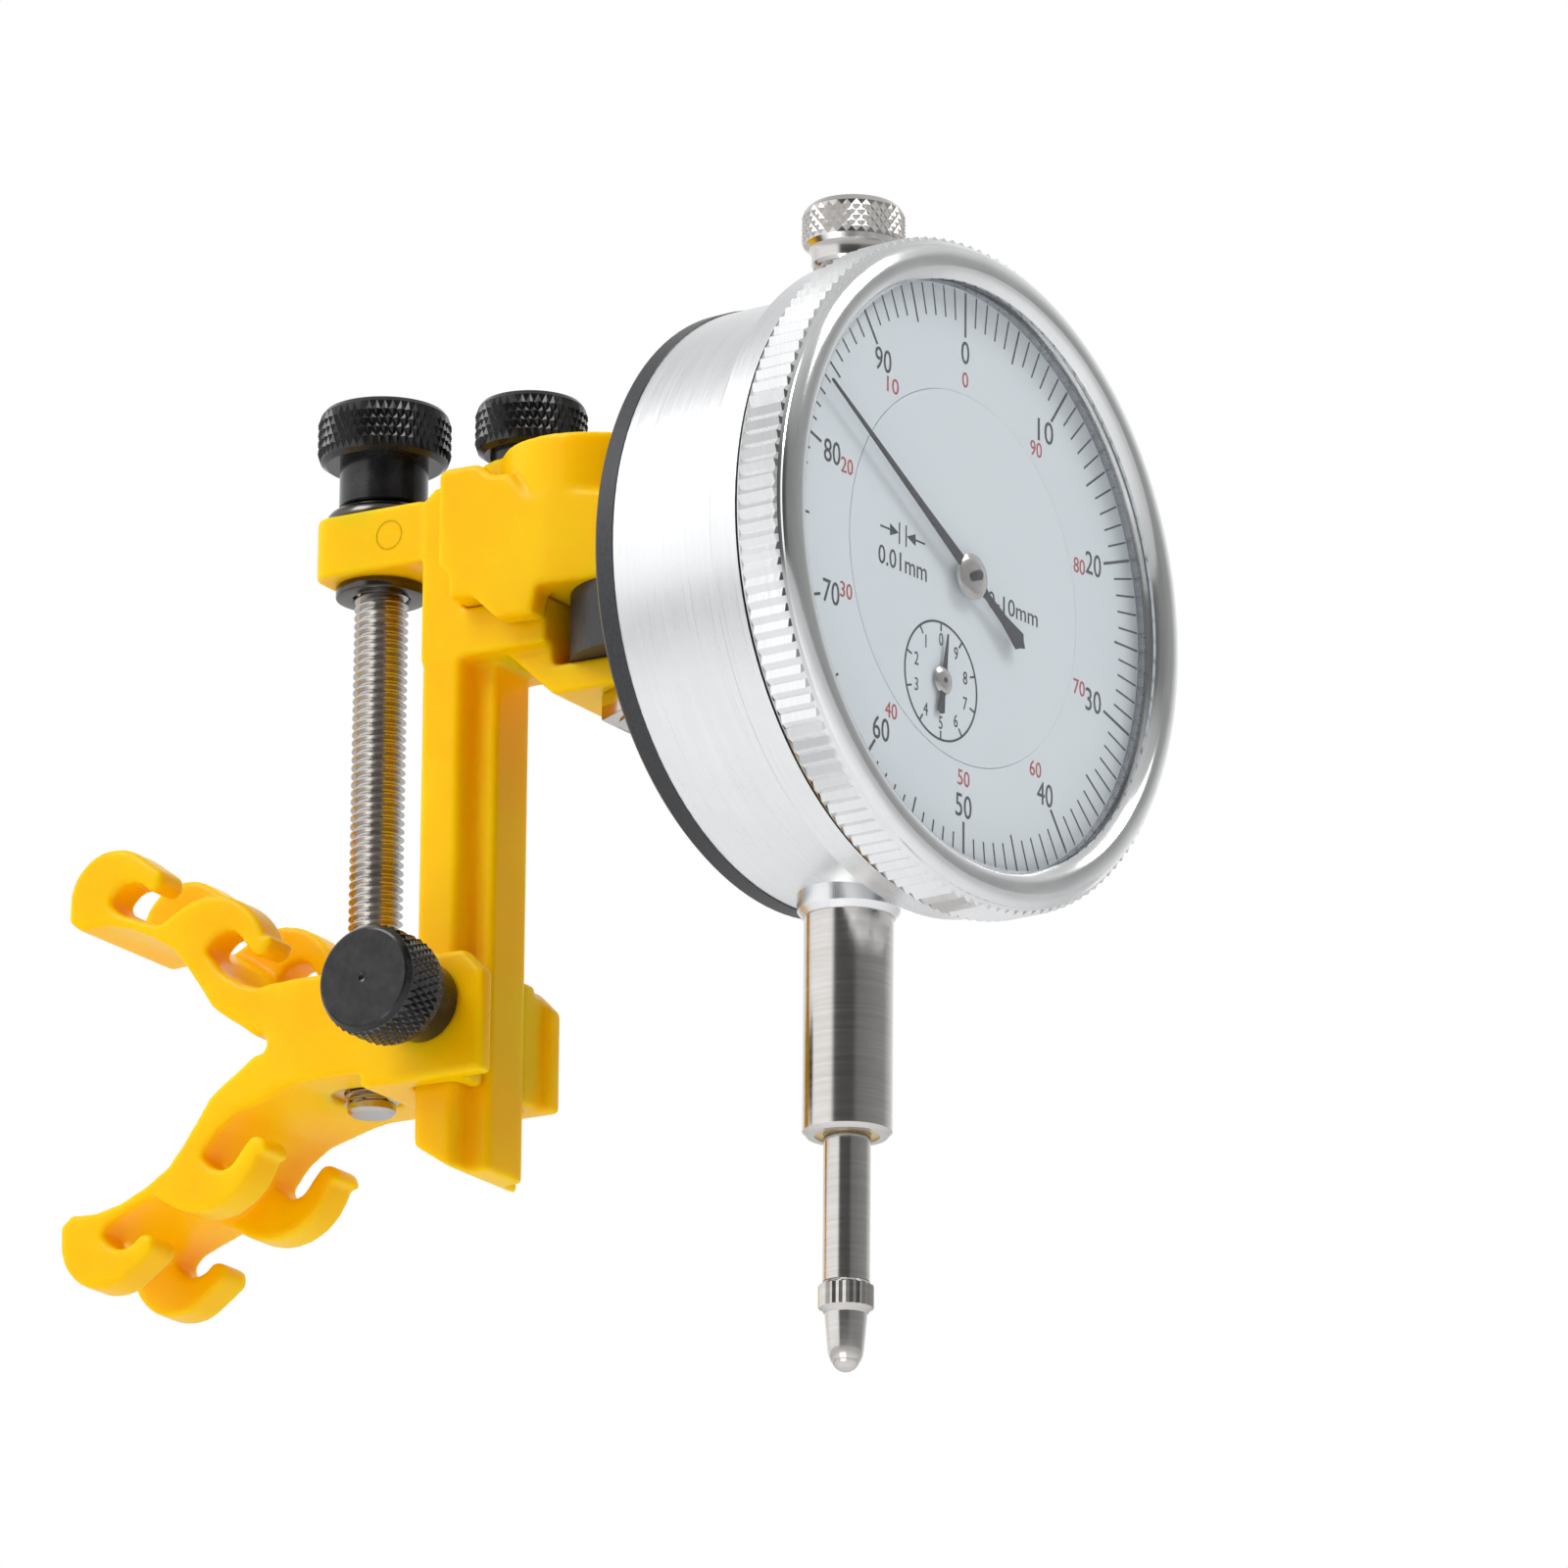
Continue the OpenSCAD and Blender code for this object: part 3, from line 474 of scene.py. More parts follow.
def trace(name, points, close=True):
    """A line of vertices through points in millimetres, left in edit mode."""
    deselect()
    bpy.ops.mesh.primitive_plane_add(size=MM)
    piece = bpy.context.object
    piece.name = name
    bpy.ops.object.mode_set(mode="EDIT")
    bpy.ops.mesh.select_all(action="SELECT")
    bpy.ops.mesh.merge(type="CENTER")
    bpy.ops.transform.translate(value=Vector(points[0]) * MM)
    path = list(points) + ([points[0]] if close else [])
    for here, there in zip(path, path[1:]):
        bpy.ops.mesh.extrude_region_move(
            TRANSFORM_OT_translate={"value": (Vector(there) - Vector(here)) * MM})
    bpy.ops.mesh.select_all(action="SELECT")
    bpy.ops.mesh.remove_doubles(threshold=0.001 * MM)
    return piece


def settle(piece, place=Matrix(), smooth=30):
    """Merges, turns the faces outwards, puts the mesh in its place and leaves the object at the origin."""
    pick(piece)
    bpy.ops.object.mode_set(mode="EDIT")
    bpy.ops.mesh.select_all(action="SELECT")
    bpy.ops.mesh.remove_doubles(threshold=0.001 * MM)
    bpy.ops.mesh.normals_make_consistent(inside=False)
    bpy.ops.object.mode_set(mode="OBJECT")
    piece.matrix_world = place
    bpy.ops.object.transform_apply(location=True, rotation=True, scale=True)
    bpy.ops.object.shade_smooth_by_angle(angle=math.radians(smooth))
    return piece


def turn(name, outline, place=Matrix(), steps=96, close=True, smooth=30):
    """Spins an outline of (radius, height) in millimetres round the z axis."""
    piece = trace(name, [(radius, 0, height) for radius, height in outline], close)
    bpy.ops.mesh.spin(steps=steps, angle=2 * math.pi, center=(0, 0, 0), axis=(0, 0, 1))
    bpy.ops.mesh.select_all(action="SELECT")
    bpy.ops.mesh.remove_doubles(threshold=0.001 * MM)
    return settle(piece, place, smooth)


print("helpers ready")

# %% Knurls, threads and flat pieces
def knurl(piece, steps, low, high, radius, depth, diamonds=True):
    """Lifts every other vertex of the band between two heights, before the piece is put in place."""
    rows = sorted({round(v.co.z / MM, 3) for v in piece.data.vertices
                   if low < v.co.z / MM < high and abs(Vector(v.co[:2]).length / MM - radius) < 0.01})
    pick(piece)
    bpy.ops.object.mode_set(mode="EDIT")
    bpy.ops.mesh.select_mode(type="VERT")
    bpy.ops.mesh.select_all(action="DESELECT")
    bpy.ops.object.mode_set(mode="OBJECT")
    for vertex in piece.data.vertices:
        spoke = round(math.atan2(vertex.co.y, vertex.co.x) / (2 * math.pi) * steps)
        height = round(vertex.co.z / MM, 3)
        in_band = height in rows and abs(Vector(vertex.co[:2]).length / MM - radius) < 0.01
        vertex.select = in_band and (spoke + (rows.index(height) if diamonds else 0)) % 2 == 0
    bpy.ops.object.mode_set(mode="EDIT")
    share = (radius + depth) / radius
    bpy.ops.transform.resize(value=(share, share, 1), center_override=(0, 0, 0))
    bpy.ops.mesh.select_more()
    if diamonds:
        bpy.ops.mesh.quads_convert_to_tris(quad_method="SHORTEST_DIAGONAL")
    bpy.ops.object.mode_set(mode="OBJECT")
    print(piece.name, "knurl:", steps // 2, "round,", len(rows), "rows")


def knurled(name, outline, band, depth, steps, rows, place=Matrix(), diamonds=True, smooth=24):
    """A turned piece whose outline gets rows of points between the band's two ends, then a knurl."""
    (radius, low), (_, high) = outline[band], outline[band + 1]
    inner = [(radius, low + (high - low) * row / rows) for row in range(1, rows)]
    piece = turn(name, outline[:band + 1] + inner + outline[band + 1:], steps=steps)
    knurl(piece, steps, min(low, high) + 0.01, max(low, high) - 0.01, radius, depth, diamonds)
    return settle(piece, place, smooth)


def thread(name, outer, inner, pitch, low, high, place=Matrix()):
    """A threaded rod between two heights, closed at both ends."""
    tooth = [(inner, 0), (inner, 0.1), (outer, 0.42), (outer, 0.56), (inner, 0.9), (inner, 1)]
    piece = trace(name, [(radius, 0, low - pitch + share * pitch) for radius, share in tooth], False)
    bpy.ops.object.mode_set(mode="OBJECT")
    screw = piece.modifiers.new("thread", "SCREW")
    screw.axis, screw.angle, screw.screw_offset = "Z", 2 * math.pi, pitch * MM
    screw.iterations = int((high - low) / pitch) + 3
    screw.steps = screw.render_steps = 28
    screw.use_merge_vertices = True
    pick(piece)
    bpy.ops.object.modifier_apply(modifier="thread")
    for height, way in ((low, "clear_inner"), (high, "clear_outer")):
        bpy.ops.object.mode_set(mode="EDIT")
        bpy.ops.mesh.select_all(action="SELECT")
        bpy.ops.mesh.remove_doubles(threshold=0.001 * MM)
        bpy.ops.mesh.select_all(action="SELECT")
        bpy.ops.mesh.bisect(plane_co=(0, 0, height * MM), plane_no=(0, 0, 1), use_fill=True, **{way: True})
        bpy.ops.object.mode_set(mode="OBJECT")
    return settle(piece, place, 28)


def plate(name, outline, front, thickness, place, rounding=0.0):
    """A flat piece in the dial's frame: outline of (x, z), from its front backwards."""
    piece = trace(name, [(x, front, z) for x, z in outline])
    bpy.ops.mesh.edge_face_add()
    bpy.ops.mesh.extrude_region_move(TRANSFORM_OT_translate={"value": (0, thickness * MM, 0)})
    bpy.ops.mesh.select_all(action="SELECT")
    bpy.ops.mesh.normals_make_consistent(inside=False)
    if rounding:
        bpy.ops.mesh.bevel(offset=rounding * MM, segments=1, affect="EDGES")
    return settle(piece, place, 35)


print("knurls, threads and plates ready")

# %% Moulded copies, joining and handing over
def moulded(node, name, voxel, passes, share):
    """A fine, softly rounded copy of a CAD node."""
    piece = node_object(node).copy()
    piece.data = piece.data.copy()
    piece.name = name
    piece.parent = None
    piece.matrix_world = Matrix()
    bpy.context.scene.collection.objects.link(piece)
    pick(piece)
    bpy.ops.object.mode_set(mode="EDIT")
    bpy.ops.mesh.select_all(action="SELECT")
    bpy.ops.mesh.remove_doubles(threshold=0.002 * MM)
    bpy.ops.object.mode_set(mode="OBJECT")
    remesh = piece.modifiers.new("skin", "REMESH")
    remesh.mode, remesh.voxel_size = "VOXEL", voxel * MM
    bpy.ops.object.modifier_apply(modifier="skin")
    relax = piece.modifiers.new("relax", "SMOOTH")
    relax.factor, relax.iterations = 0.5, passes
    bpy.ops.object.modifier_apply(modifier="relax")
    thin = piece.modifiers.new("thin", "DECIMATE")
    thin.ratio = share
    bpy.ops.object.modifier_apply(modifier="thin")
    bpy.ops.object.shade_smooth()
    print(name, len(piece.data.polygons), "faces")
    return piece


def join(pieces, name):
    pieces[0].name = name
    if len(pieces) == 1:
        return pieces[0]
    deselect()
    for piece in pieces:
        piece.select_set(True)
    bpy.context.view_layer.objects.active = pieces[0]
    bpy.ops.object.join()
    return pieces[0]


def hand_over(piece, body, slot, finish, *replaced):
    """Finish, body and the CAD nodes that a piece stands for; the slot is not used."""
    coat(piece, finish)
    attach(piece, body)
    if replaced:
        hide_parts(*replaced)
    return piece


def lowest(node):
    return Vector(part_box(node)[0]) / MM


def highest(node):
    return Vector(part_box(node)[1]) / MM


def axis_at(x, y, z=0.0):
    return Matrix.Translation(Vector((x, y, z)) * MM)


print("moulding and handing over ready")

# %% [markdown]
# ## Bracket
# The saddle, the column and the clamp block are the three yellow mouldings. Their CAD nodes have knife edges,
# which a mould can't have. A bevel on so many odd edges breaks, so the copies are remeshed and relaxed.

# %% Yellow mouldings
SKIN = 0.26                 # size of the remeshed faces in millimetres
saddle = moulded("saddle_base", "saddle", SKIN, 14, 0.45)
hand_over(saddle, "saddle", "yellow_plastic", yellow, "saddle_base")
column = moulded("column", "column_moulding", SKIN, 12, 0.45)
hand_over(column, "column", "yellow_plastic", yellow, "column")
block = moulded("clamp_block", "clamp_block_moulding", SKIN, 14, 0.5)
hand_over(block, "clamp_block", "yellow_plastic", yellow, "clamp_block")

# %% [markdown]
# The ejector pins of the mould leave faint round witness marks: a thin raised ring, hardly thicker than paint.

# %% Ejector marks
def ejector_mark(name, x, y, z, radius):
    flat = Matrix.Translation(Vector((x, y, z)) * MM) @ Matrix.Rotation(math.radians(-90), 4, "Y")
    ring = turn(name, [(radius - 0.07, -0.15), (radius + 0.07, -0.15), (radius + 0.05, 0.012),
                       (radius - 0.05, 0.012)], flat, steps=40)
    return hand_over(ring, "column", "yellow_plastic", yellow)


ARM_SIDE, ARM_MIDDLE = -5.52, highest("column").z - 3.6
ejector_mark("arm_mark", ARM_SIDE, -10.2, ARM_MIDDLE, 1.35)
print("marks made")

# %% [markdown]
# ## Screws and knobs
# The bracket's screws end in black knurled knobs. A diamond knurl is rolled into the turned knob, so here it is
# cut into the turned piece too: its band has an even number of points round it and several rows, every other
# point is lifted, and the squares are split along their shorter diagonal, which leaves rows of small pyramids.

# %% Knobs on the bracket
def knob_outline(radius, neck, neck_height, height):
    """Half an outline from the foot of the neck up; the knurl's band starts at its point number BAND."""
    return [(0, 0), (neck - 0.15, 0), (neck, 0.15), (neck, neck_height), (radius - 0.6, neck_height),
            (radius - 0.05, neck_height + 0.35), (radius - 0.05, height - 0.5), (radius - 0.35, height - 0.1),
            (radius - 0.55, height), (0.5, height), (0.2, height - 0.18), (0, height - 0.22)]


BAND, DEPTH = 5, 0.3


def knob(node, body, neck, neck_height, steps, rows, place, height):
    size = highest(node) - lowest(node)
    radius = (size.z if body == "lock_knob" else size.x) / 2 - DEPTH + 0.05
    piece = knurled(node + "_knurled", knob_outline(radius, neck / 2, neck_height, height), BAND, DEPTH,
                    steps, rows, place)
    return hand_over(piece, body, "black_anodised", black, node)


LEFTWARDS = Matrix.Rotation(math.radians(-90), 4, "Y")
foot = lowest("adjust_knob")
rod_y = (foot.y + highest("adjust_knob").y) / 2
knob("adjust_knob", "adjuster", 8.2, 4.2, 100, 5, axis_at(0, rod_y, foot.z),
     highest("adjust_knob").z - foot.z)
foot = lowest("clamp_knob")
clamp_y = (foot.y + highest("clamp_knob").y) / 2
knob("clamp_knob", "clamp_knob", 7.6, 1.2, 84, 5, axis_at(0, clamp_y, foot.z),
     highest("clamp_knob").z - foot.z)
low, high = lowest("lock_knob"), highest("lock_knob")
knob("lock_knob", "lock_knob", 7.4, 4.0, 84, 6,
     axis_at(high.x, (low.y + high.y) / 2, (low.z + high.z) / 2) @ LEFTWARDS, high.x - low.x)

# %% [markdown]
# The adjusting rod is a stainless stud with a coarse rolled thread. One tooth is traced from root to crest and
# back, the Screw modifier winds it up the rod, and two cuts close the ends. The lower end is turned plain and
# chamfered.

# %% Threaded rod, washers and screws
low, high = lowest("adjust_rod"), highest("adjust_rod")
rod_radius = (high.x - low.x) / 2
end, core = 1.0, rod_radius - 0.28
wound = thread("adjust_rod_wound", rod_radius, rod_radius - 0.43, 0.8, low.z + end, high.z)
plain = turn("rod_end", [(0, low.z), (core - 0.3, low.z), (core, low.z + 0.3), (core, low.z + end + 0.4),
                         (0, low.z + end + 0.4)], steps=48)
rod = settle(join([wound, plain], "adjust_rod_threaded"), axis_at(0, rod_y, 0), 28)
hand_over(rod, "adjuster", "polished_steel", rod_steel, "adjust_rod")


def rounded_ring(name, node, inner, edge, x, y):
    """A washer with softened rims between the heights of its CAD node."""
    low, high = lowest(node).z, highest(node).z
    outer = (highest(node).x - lowest(node).x) / 2
    outline = [(inner, low + edge), (inner + edge, low), (outer - edge, low),
               (outer - 0.3 * edge, low + 0.3 * edge), (outer, low + edge), (outer, high - edge),
               (outer - 0.3 * edge, high - 0.3 * edge),
               (outer - edge, high), (inner + edge, high), (inner, high - edge)]
    return turn(name, outline, axis_at(x, y, 0), steps=72)


hand_over(rounded_ring("arm_washer_rounded", "arm_washer", 2.6, 0.16, 0, rod_y), "adjuster", "dark_washer",
          washer_metal, "arm_washer")
low, high = lowest("dome_washer").z, highest("dome_washer").z
wide = (highest("dome_washer").x - lowest("dome_washer").x) / 2
dome = [(2.6, low), (wide - 0.1, low), (wide, low + 0.12), (wide, low + 0.3)]
for degrees in range(8, 91, 8):
    angle = math.radians(degrees)
    dome.append((2.9 + (wide - 2.95) * math.cos(angle), low + 0.35 + (high - low - 0.37) * math.sin(angle)))
dome += [(2.6, high)]
hand_over(turn("dome_washer_rounded", dome, axis_at(0, rod_y, 0), steps=72), "adjuster", "dark_washer",
          washer_metal, "dome_washer")
print("rod and washers made")

# %% [markdown]
# ## Bezel and window
# The bezel is turned from bright metal and its rim carries fine straight ribs for the fingers. Ribs are the
# knurl without the diamonds: every other line of the band is lifted over its whole length. The window is a
# shallow dome of clear plastic, so its outline has an outer and an inner skin.

# %% Bezel
FACE = DIAL @ Matrix.Rotation(math.radians(-90), 4, "X")     # a turned piece's axis laid along the dial's
RIM, RIB = 30.2, 0.38
bezel_outline = [
    (27.12, 2.95), (29.7, 2.95), (29.95, 2.75), (RIM - 0.2, 2.62), (RIM, 2.45), (RIM, 2.2), (RIM, -1.55),
    (RIM, -1.75), (RIM - 0.15, -1.92), (29.98, -1.98), (29.96, -2.14), (29.82, -2.34), (29.5, -2.6),
    (29.0, -2.84), (28.5, -2.94), (28.0, -2.95), (27.6, -2.86), (27.2, -2.6), (26.85, -2.26), (26.7, -2.1),
    (26.7, -1.82), (27.68, -1.82), (27.68, -0.74), (27.12, -0.74)]
bezel = turn("bezel_ribbed", bezel_outline, steps=280, smooth=22)
knurl(bezel, 280, -1.6, 2.25, RIM, RIB, diamonds=False)
settle(bezel, FACE, 22)
hand_over(bezel, "bezel", "bright_bezel", bright, "bezel")

# %% [markdown]
# The window's rim sits in the bezel's groove, and its dome rises a millimetre towards the middle. The skins
# are nearly half a millimetre apart, and each is a short list of points on a parabola.

# %% Window
def dome_skin(rim, edge, top, thickness, count):
    return [(rim * share, edge + (top - edge) * (1 - share ** 2) + thickness)
            for share in (1 - step / count for step in range(count + 1))]


outer_skin = dome_skin(26.45, -2.15, -3.2, 0.0, 10)
inner_skin = dome_skin(26.15, -2.15, -3.2, 0.45, 10)
window_outline = ([(27.6, -0.85), (27.6, -1.7), (26.5, -1.75)] + outer_skin + inner_skin[::-1]
                  + [(26.15, -0.85)])
hand_over(turn("window_dome", window_outline, FACE, steps=128, smooth=40), "bezel", "crystal_clear", window,
          "crystal")

# %% [markdown]
# ## Printed dial
# The print is ink on sheet metal. A picture of it would go soft from close by, so every line and figure is a
# very thin solid of its own, a few hundredths of a millimetre above the sheet: crisp from anywhere, and each
# ink a real material. The outer scale turns with the bezel, and the middle stays with the case.

# %% Lines and figures
INK = 0.03          # how far the print stands off the sheet
DIVISIONS = 100


def in_face(angle, radius, x=0.0, z=0.0):
    """Where a mark sits: turned clockwise from the top, a radius out from a centre on the face."""
    return (DIAL @ Matrix.Translation(Vector((x, 0, z)) * MM) @ Matrix.Rotation(angle, 4, "Y")
            @ Matrix.Translation(Vector((0, 0, radius)) * MM))


def bar(name, width, length):
    """One printed line, standing up from its outer end downwards."""
    bpy.ops.mesh.primitive_cube_add(size=1)
    piece = bpy.context.object
    piece.name = name
    bpy.ops.object.mode_set(mode="EDIT")
    bpy.ops.transform.resize(value=(width * MM, INK * MM, length * MM), center_override=(0, 0, 0))
    bpy.ops.transform.translate(value=(0, -INK / 2 * MM, -length / 2 * MM))
    bpy.ops.object.mode_set(mode="OBJECT")
    return piece


def repeat(pattern, places, name):
    """Copies of one pattern, each with its own mesh, joined; the pattern itself goes."""
    copies = []
    for place in places:
        piece = pattern.copy()
        piece.data = pattern.data.copy()
        bpy.context.scene.collection.objects.link(piece)
        piece.data.transform(place)
        copies.append(piece)
    bpy.data.objects.remove(pattern)
    return join(copies, name)


def figures(words, height, width=0.0):
    """Printed words, centred on the origin of the face, with a given height and width in millimetres."""
    deselect()
    bpy.ops.object.text_add()
    piece = bpy.context.object
    piece.data.body = words
    piece.data.align_x, piece.data.align_y = "CENTER", "CENTER"
    piece.data.extrude = 0.5
    piece.data.resolution_u = 3
    bpy.ops.object.convert(target="MESH")
    piece = bpy.context.object
    corners = [Vector(corner) for corner in piece.bound_box]
    low = Vector([min(c[i] for c in corners) for i in range(3)])
    high = Vector([max(c[i] for c in corners) for i in range(3)])
    tall = height * MM / (high.y - low.y)
    broad = width * MM / (high.x - low.x) if width else tall * 0.8
    piece.data.transform(Matrix.Translation(-(low + high) / 2))
    piece.data.transform(Matrix.Diagonal((broad, tall, INK * MM, 1)))
    piece.data.transform(Matrix.Rotation(math.radians(90), 4, "X"))
    piece.data.transform(Matrix.Translation((0, -INK / 2 * MM, 0)))
    return piece


def on_face(piece, x, z):
    """Moves a mark from the origin of the face to its place."""
    piece.data.transform(DIAL @ Matrix.Translation(Vector((x, 0, z)) * MM))
    return piece


def set_figure(piece, angle, radius, x=0.0, z=0.0):
    """Puts a figure, kept upright, at an angle clockwise from the top and a radius out from a centre."""
    return on_face(piece, x + radius * math.sin(angle), z + radius * math.cos(angle))


def axle_of(joint):
    """Where a joint's axle comes through the face, in millimetres right of and above its middle."""
    local = DIAL.inverted() @ Vector(joints[joint]["pos_m"])
    return local.x / MM, local.z / MM


print("printing helpers ready")

# %% [markdown]
# The outer scale has a hundred lines of three lengths, each made once as a bar and copied round the ring. The
# figures stand upright all the way round: black ones clockwise, and smaller red ones the other way.

# %% Outer scale
TICK_END = 26.75
tick_kinds = {"tens": (0.26, 4.2), "fives": (0.2, 3.6), "units": (0.17, 2.9)}


def kind_of(division):
    return "tens" if division % 10 == 0 else "fives" if division % 5 == 0 else "units"


scale_lines = []
for kind, (width, length) in tick_kinds.items():
    places = [in_face(math.radians(3.6 * n), TICK_END) for n in range(DIVISIONS) if kind_of(n) == kind]
    scale_lines.append(repeat(bar(kind, width, length), places, kind + "_lines"))
black_figures, red_figures = [], []
for number in range(0, DIVISIONS, 10):
    angle = math.radians(3.6 * number)
    figure = figures(str(number), 2.15, 2.4 if number else 1.2)
    black_figures.append(set_figure(figure, angle, 20.75 + 0.35 * abs(math.cos(angle))))
    figure = figures(str((DIVISIONS - number) % DIVISIONS), 1.45, 1.75 if number else 0.9)
    red_figures.append(set_figure(figure, angle, 18.55))
outer_print = join(scale_lines + black_figures, "outer_scale_print")
red_print = join(red_figures, "red_scale_print")
for piece, finish in ((outer_print, black_ink), (red_print, red_ink)):
    settle(piece)
    hand_over(piece, "bezel", "dial_print", finish)
print("outer scale:", len(outer_print.data.polygons), "faces")

# %% [markdown]
# The face is two sheets: a ring that turns with the bezel, and the middle, which stays. They all but touch, so
# the step between them is only a pale line, and the ring's inner edge is a little round.

# %% Sheets of the dial
middle_edge, scale_edge = 17.1, 26.9
ring_sheet = [(middle_edge + 0.04, 0.5), (middle_edge + 0.04, 0.1), (middle_edge + 0.12, 0.02),
              (middle_edge + 0.2, 0), (scale_edge, 0), (scale_edge, 0.5)]
scale_sheet = turn("scale_ring_sheet", ring_sheet, FACE, steps=128)
hand_over(scale_sheet, "bezel", "dial_print", dial_sheet, "scale_ring")
print("scale ring rounded")

# %% [markdown]
# The small dial counts the turns of the long hand, so its ring is centred on its own axle. Beside the hub stand
# the size of a division, with two arrows over it, and the range.

# %% Middle of the dial
small_x, small_z = axle_of("counter_turn")
SMALL_RING, SMALL_LINE = 5.4, 0.1
ring = turn("small_ring", [(SMALL_RING - SMALL_LINE, -INK), (SMALL_RING + SMALL_LINE, -INK),
                           (SMALL_RING + SMALL_LINE, 0), (SMALL_RING - SMALL_LINE, 0)],
            FACE @ Matrix.Translation(Vector((small_x, -small_z, 0)) * MM), steps=72)
tenths = [math.radians(36 * n) for n in range(10)]
small_marks = repeat(bar("small_mark", 0.18, 0.8),
                     [in_face(angle, SMALL_RING, small_x, small_z) for angle in tenths], "small_marks")
small_figures = [set_figure(figures(str(number), 1.2), -angle, 3.85, small_x, small_z)
                 for number, angle in enumerate(tenths)]
LEGEND_X, ARROWS_Z = -9.3, 1.6
legend = [on_face(figures("0.01mm", 1.75, 7.2), LEGEND_X, -1.0),
          on_face(figures("0-10mm", 1.6, 7.6), 7.4, -0.95)]
for side in (-1, 1):
    shaft_place = in_face(math.radians(90), 1.15 + side * 2.2, LEGEND_X, ARROWS_Z)
    stop_place = in_face(0, 1.0, LEGEND_X + side * 0.5, ARROWS_Z)
    tip, tail = LEGEND_X + side * 0.62, LEGEND_X + side * 1.9
    legend.append(repeat(bar("shaft", 0.17, 2.3), [shaft_place], "shaft"))
    legend.append(repeat(bar("stop", 0.17, 2.0), [stop_place], "stop"))
    legend.append(plate("head", [(tip, ARROWS_Z), (tail, ARROWS_Z + 0.55), (tail, ARROWS_Z - 0.55)], -INK, INK,
                        DIAL))
middle_print = settle(join([ring, small_marks] + small_figures + legend, "middle_print"))
hand_over(middle_print, "dial", "dial_print", black_ink)
print("middle of the dial printed round", round(small_x, 2), round(small_z, 2))

# %% [markdown]
# ## Hands
# Both hands are blanked from thin sheet, taper to their tips and carry a spade behind the hub. The outline is
# traced, filled and given the sheet's thickness; the bush on the arbor is a small turned piece.

# %% Hands
def hand(node, body, joint, angle, outline, hub, depths):
    """A blade traced pointing up, its bush and the arbor's end, all turned to the reading.

    Depths, negative towards the viewer: the bush's front, the blade's front, the thickness of its sheet, the
    bush's back and the arbor's end.
    """
    bush_front, blade_front, sheet, bush_back, arbor_end = depths
    x, z = axle_of(joint)
    place = DIAL @ Matrix.Translation(Vector((x, 0, z)) * MM) @ Matrix.Rotation(math.radians(angle), 4, "Y")
    front = min((DIAL.inverted() @ Vector(corner)).y / MM for corner in (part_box(node)[0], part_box(node)[1]))
    both_sides = outline + [(-across, along) for across, along in reversed(outline) if across]
    blade = plate(node + "_blade", both_sides, blade_front, sheet, place, 0.03)
    hand_over(blade, body, "hand_lacquer", lacquer, node)
    turned = place @ Matrix.Rotation(math.radians(-90), 4, "X")
    bush_outline = [(0, bush_front + 0.04), (hub * 0.45, bush_front + 0.02), (hub * 0.8, bush_front + 0.1),
                    (hub, bush_front + 0.28), (hub, bush_back), (0, bush_back)]
    hand_over(turn(node + "_bush", bush_outline, turned, steps=48), body, "polished_steel", steel)
    end_outline = [(0, arbor_end), (hub * 0.17, arbor_end), (hub * 0.23, arbor_end + 0.1),
                   (hub * 0.23, bush_front + 0.2), (0, bush_front + 0.2)]
    hand_over(turn(node + "_arbor_end", end_outline, turned, steps=32), body, "hand_lacquer", lacquer)
    print(node, "made, front at", round(front, 2))


hand("main_hand", "centre", "centre_turn", -59,
     [(0, 24.7), (0.12, 24.5), (0.36, 9.0), (0.55, 2.0), (0.55, -1.9), (0.36, -2.6), (0.5, -5.6),
      (0.98, -8.3), (0.4, -8.7), (0, -9.2)], 2.1, (-1.3, -1.05, 0.2, -0.7, -1.85))
hand("counter_hand", "counter", "counter_turn", 8,
     [(0, 4.5), (0.07, 4.4), (0.26, 1.6), (0.42, 0.4), (0.42, -0.8), (0.36, -1.5), (0.5, -3.0), (0, -3.2)],
     1.3, (-0.58, -0.42, 0.14, -0.28, -0.6))

# %% [markdown]
# ## Plunger
# The spindle ends in a lifting knob above and a contact point below. Both are turned and both have a rolled
# knurl to grip: diamonds on the knob, and straight ribs on the collar of the point, which screws out by hand.

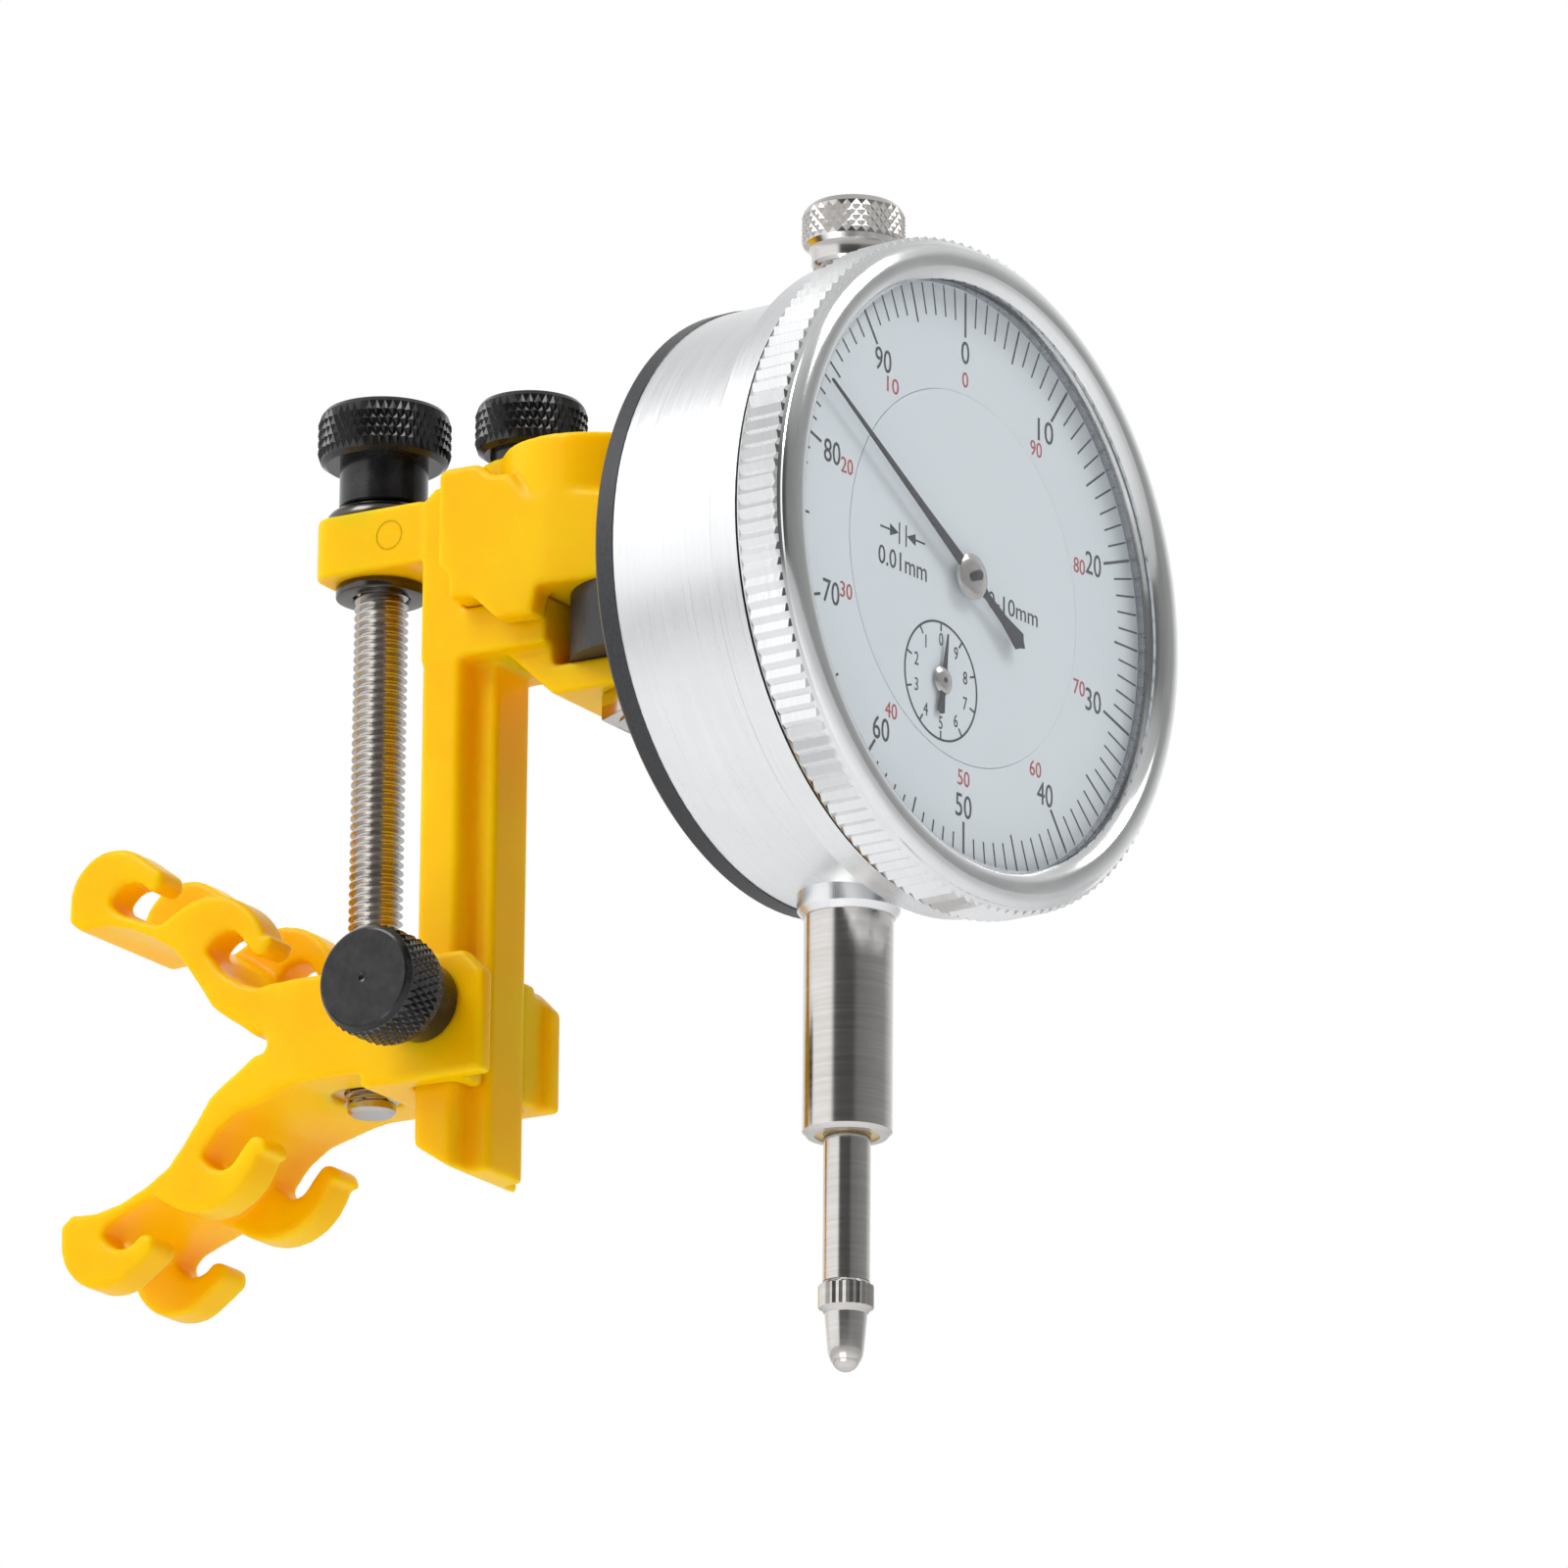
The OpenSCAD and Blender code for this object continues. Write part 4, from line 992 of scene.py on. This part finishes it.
# %% Lifting knob and contact point
axle_x = (lowest("spindle").x + highest("spindle").x) / 2
axle_y = (lowest("spindle").y + highest("spindle").y) / 2
low, high = lowest("lift_knob"), highest("lift_knob")
grip = (high.x - low.x) / 2 - 0.14
tall = high.z - low.z
lift_outline = [(0, 0), (3.2, 0), (3.6, 0.25), (3.78, 0.6), (3.78, 1.5), (4.0, 2.05), (grip, 2.42),
                (grip, tall - 0.6), (grip - 0.2, tall - 0.28), (grip - 0.5, tall), (0.35, tall),
                (0, tall - 0.12)]
lift = knurled("lift_knob_knurled", lift_outline, 6, 0.2, 64, 6, axis_at(axle_x, axle_y, low.z))
hand_over(lift, "plunger", "polished_steel", steel, "lift_knob")

low, high = lowest("contact_point"), highest("contact_point")
collar = (high.x - low.x) / 2 - 0.12
tall = high.z - low.z
point_outline = [(0, tall), (2.05, tall), (collar - 0.15, tall - 0.2), (collar, tall - 0.34),
                 (collar, tall - 2.34), (collar - 0.15, tall - 2.5), (2.05, tall - 2.72), (1.9, tall - 2.9),
                 (1.62, tall - 6.0), (1.5, tall - 6.7), (1.32, 0), (0, 0)]
point = turn("contact_point_ribbed", point_outline, steps=48, smooth=24)
knurl(point, 48, tall - 2.36, tall - 0.32, collar, 0.13, diamonds=False)
settle(point, axis_at(axle_x, axle_y, low.z), 24)
hand_over(point, "plunger", "polished_steel", steel, "contact_point")

# %% [markdown]
# ## Small turned parts
# Nuts are seldom sharp. This one is a six-sided cylinder of the size of its CAD node, and one small bevel
# takes off all its edges.

# %% Pivot nut
low, high = lowest("pivot_nut"), highest("pivot_nut")
bpy.ops.object.select_all(action="DESELECT")
bpy.ops.mesh.primitive_cylinder_add(vertices=6, radius=(high.x - low.x) / 2 * MM, depth=(high.z - low.z) * MM)
nut = bpy.context.object
nut.name = "pivot_nut_bevelled"
bpy.ops.object.mode_set(mode="EDIT")
bpy.ops.mesh.select_all(action="SELECT")
bpy.ops.mesh.bevel(offset=0.28 * MM, segments=2, affect="EDGES")
bpy.ops.object.mode_set(mode="OBJECT")
settle(nut, Matrix.Translation((low + high) / 2 * MM) @ Matrix.Rotation(math.radians(30), 4, "Z"))
print("pivot nut bevelled")
hand_over(nut, "column", "polished_steel", steel, "pivot_nut")

# %% [markdown]
# ## Sizes
# The visual model has to fill the same box as the CAD model, so both boxes are printed.

# %% Sizes
visual_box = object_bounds()
for side, cad, visual in zip(("lowest", "highest"), cad_box, visual_box):
    print(side, [round(v / MM, 2) for v in cad], [round(v / MM, 2) for v in visual])
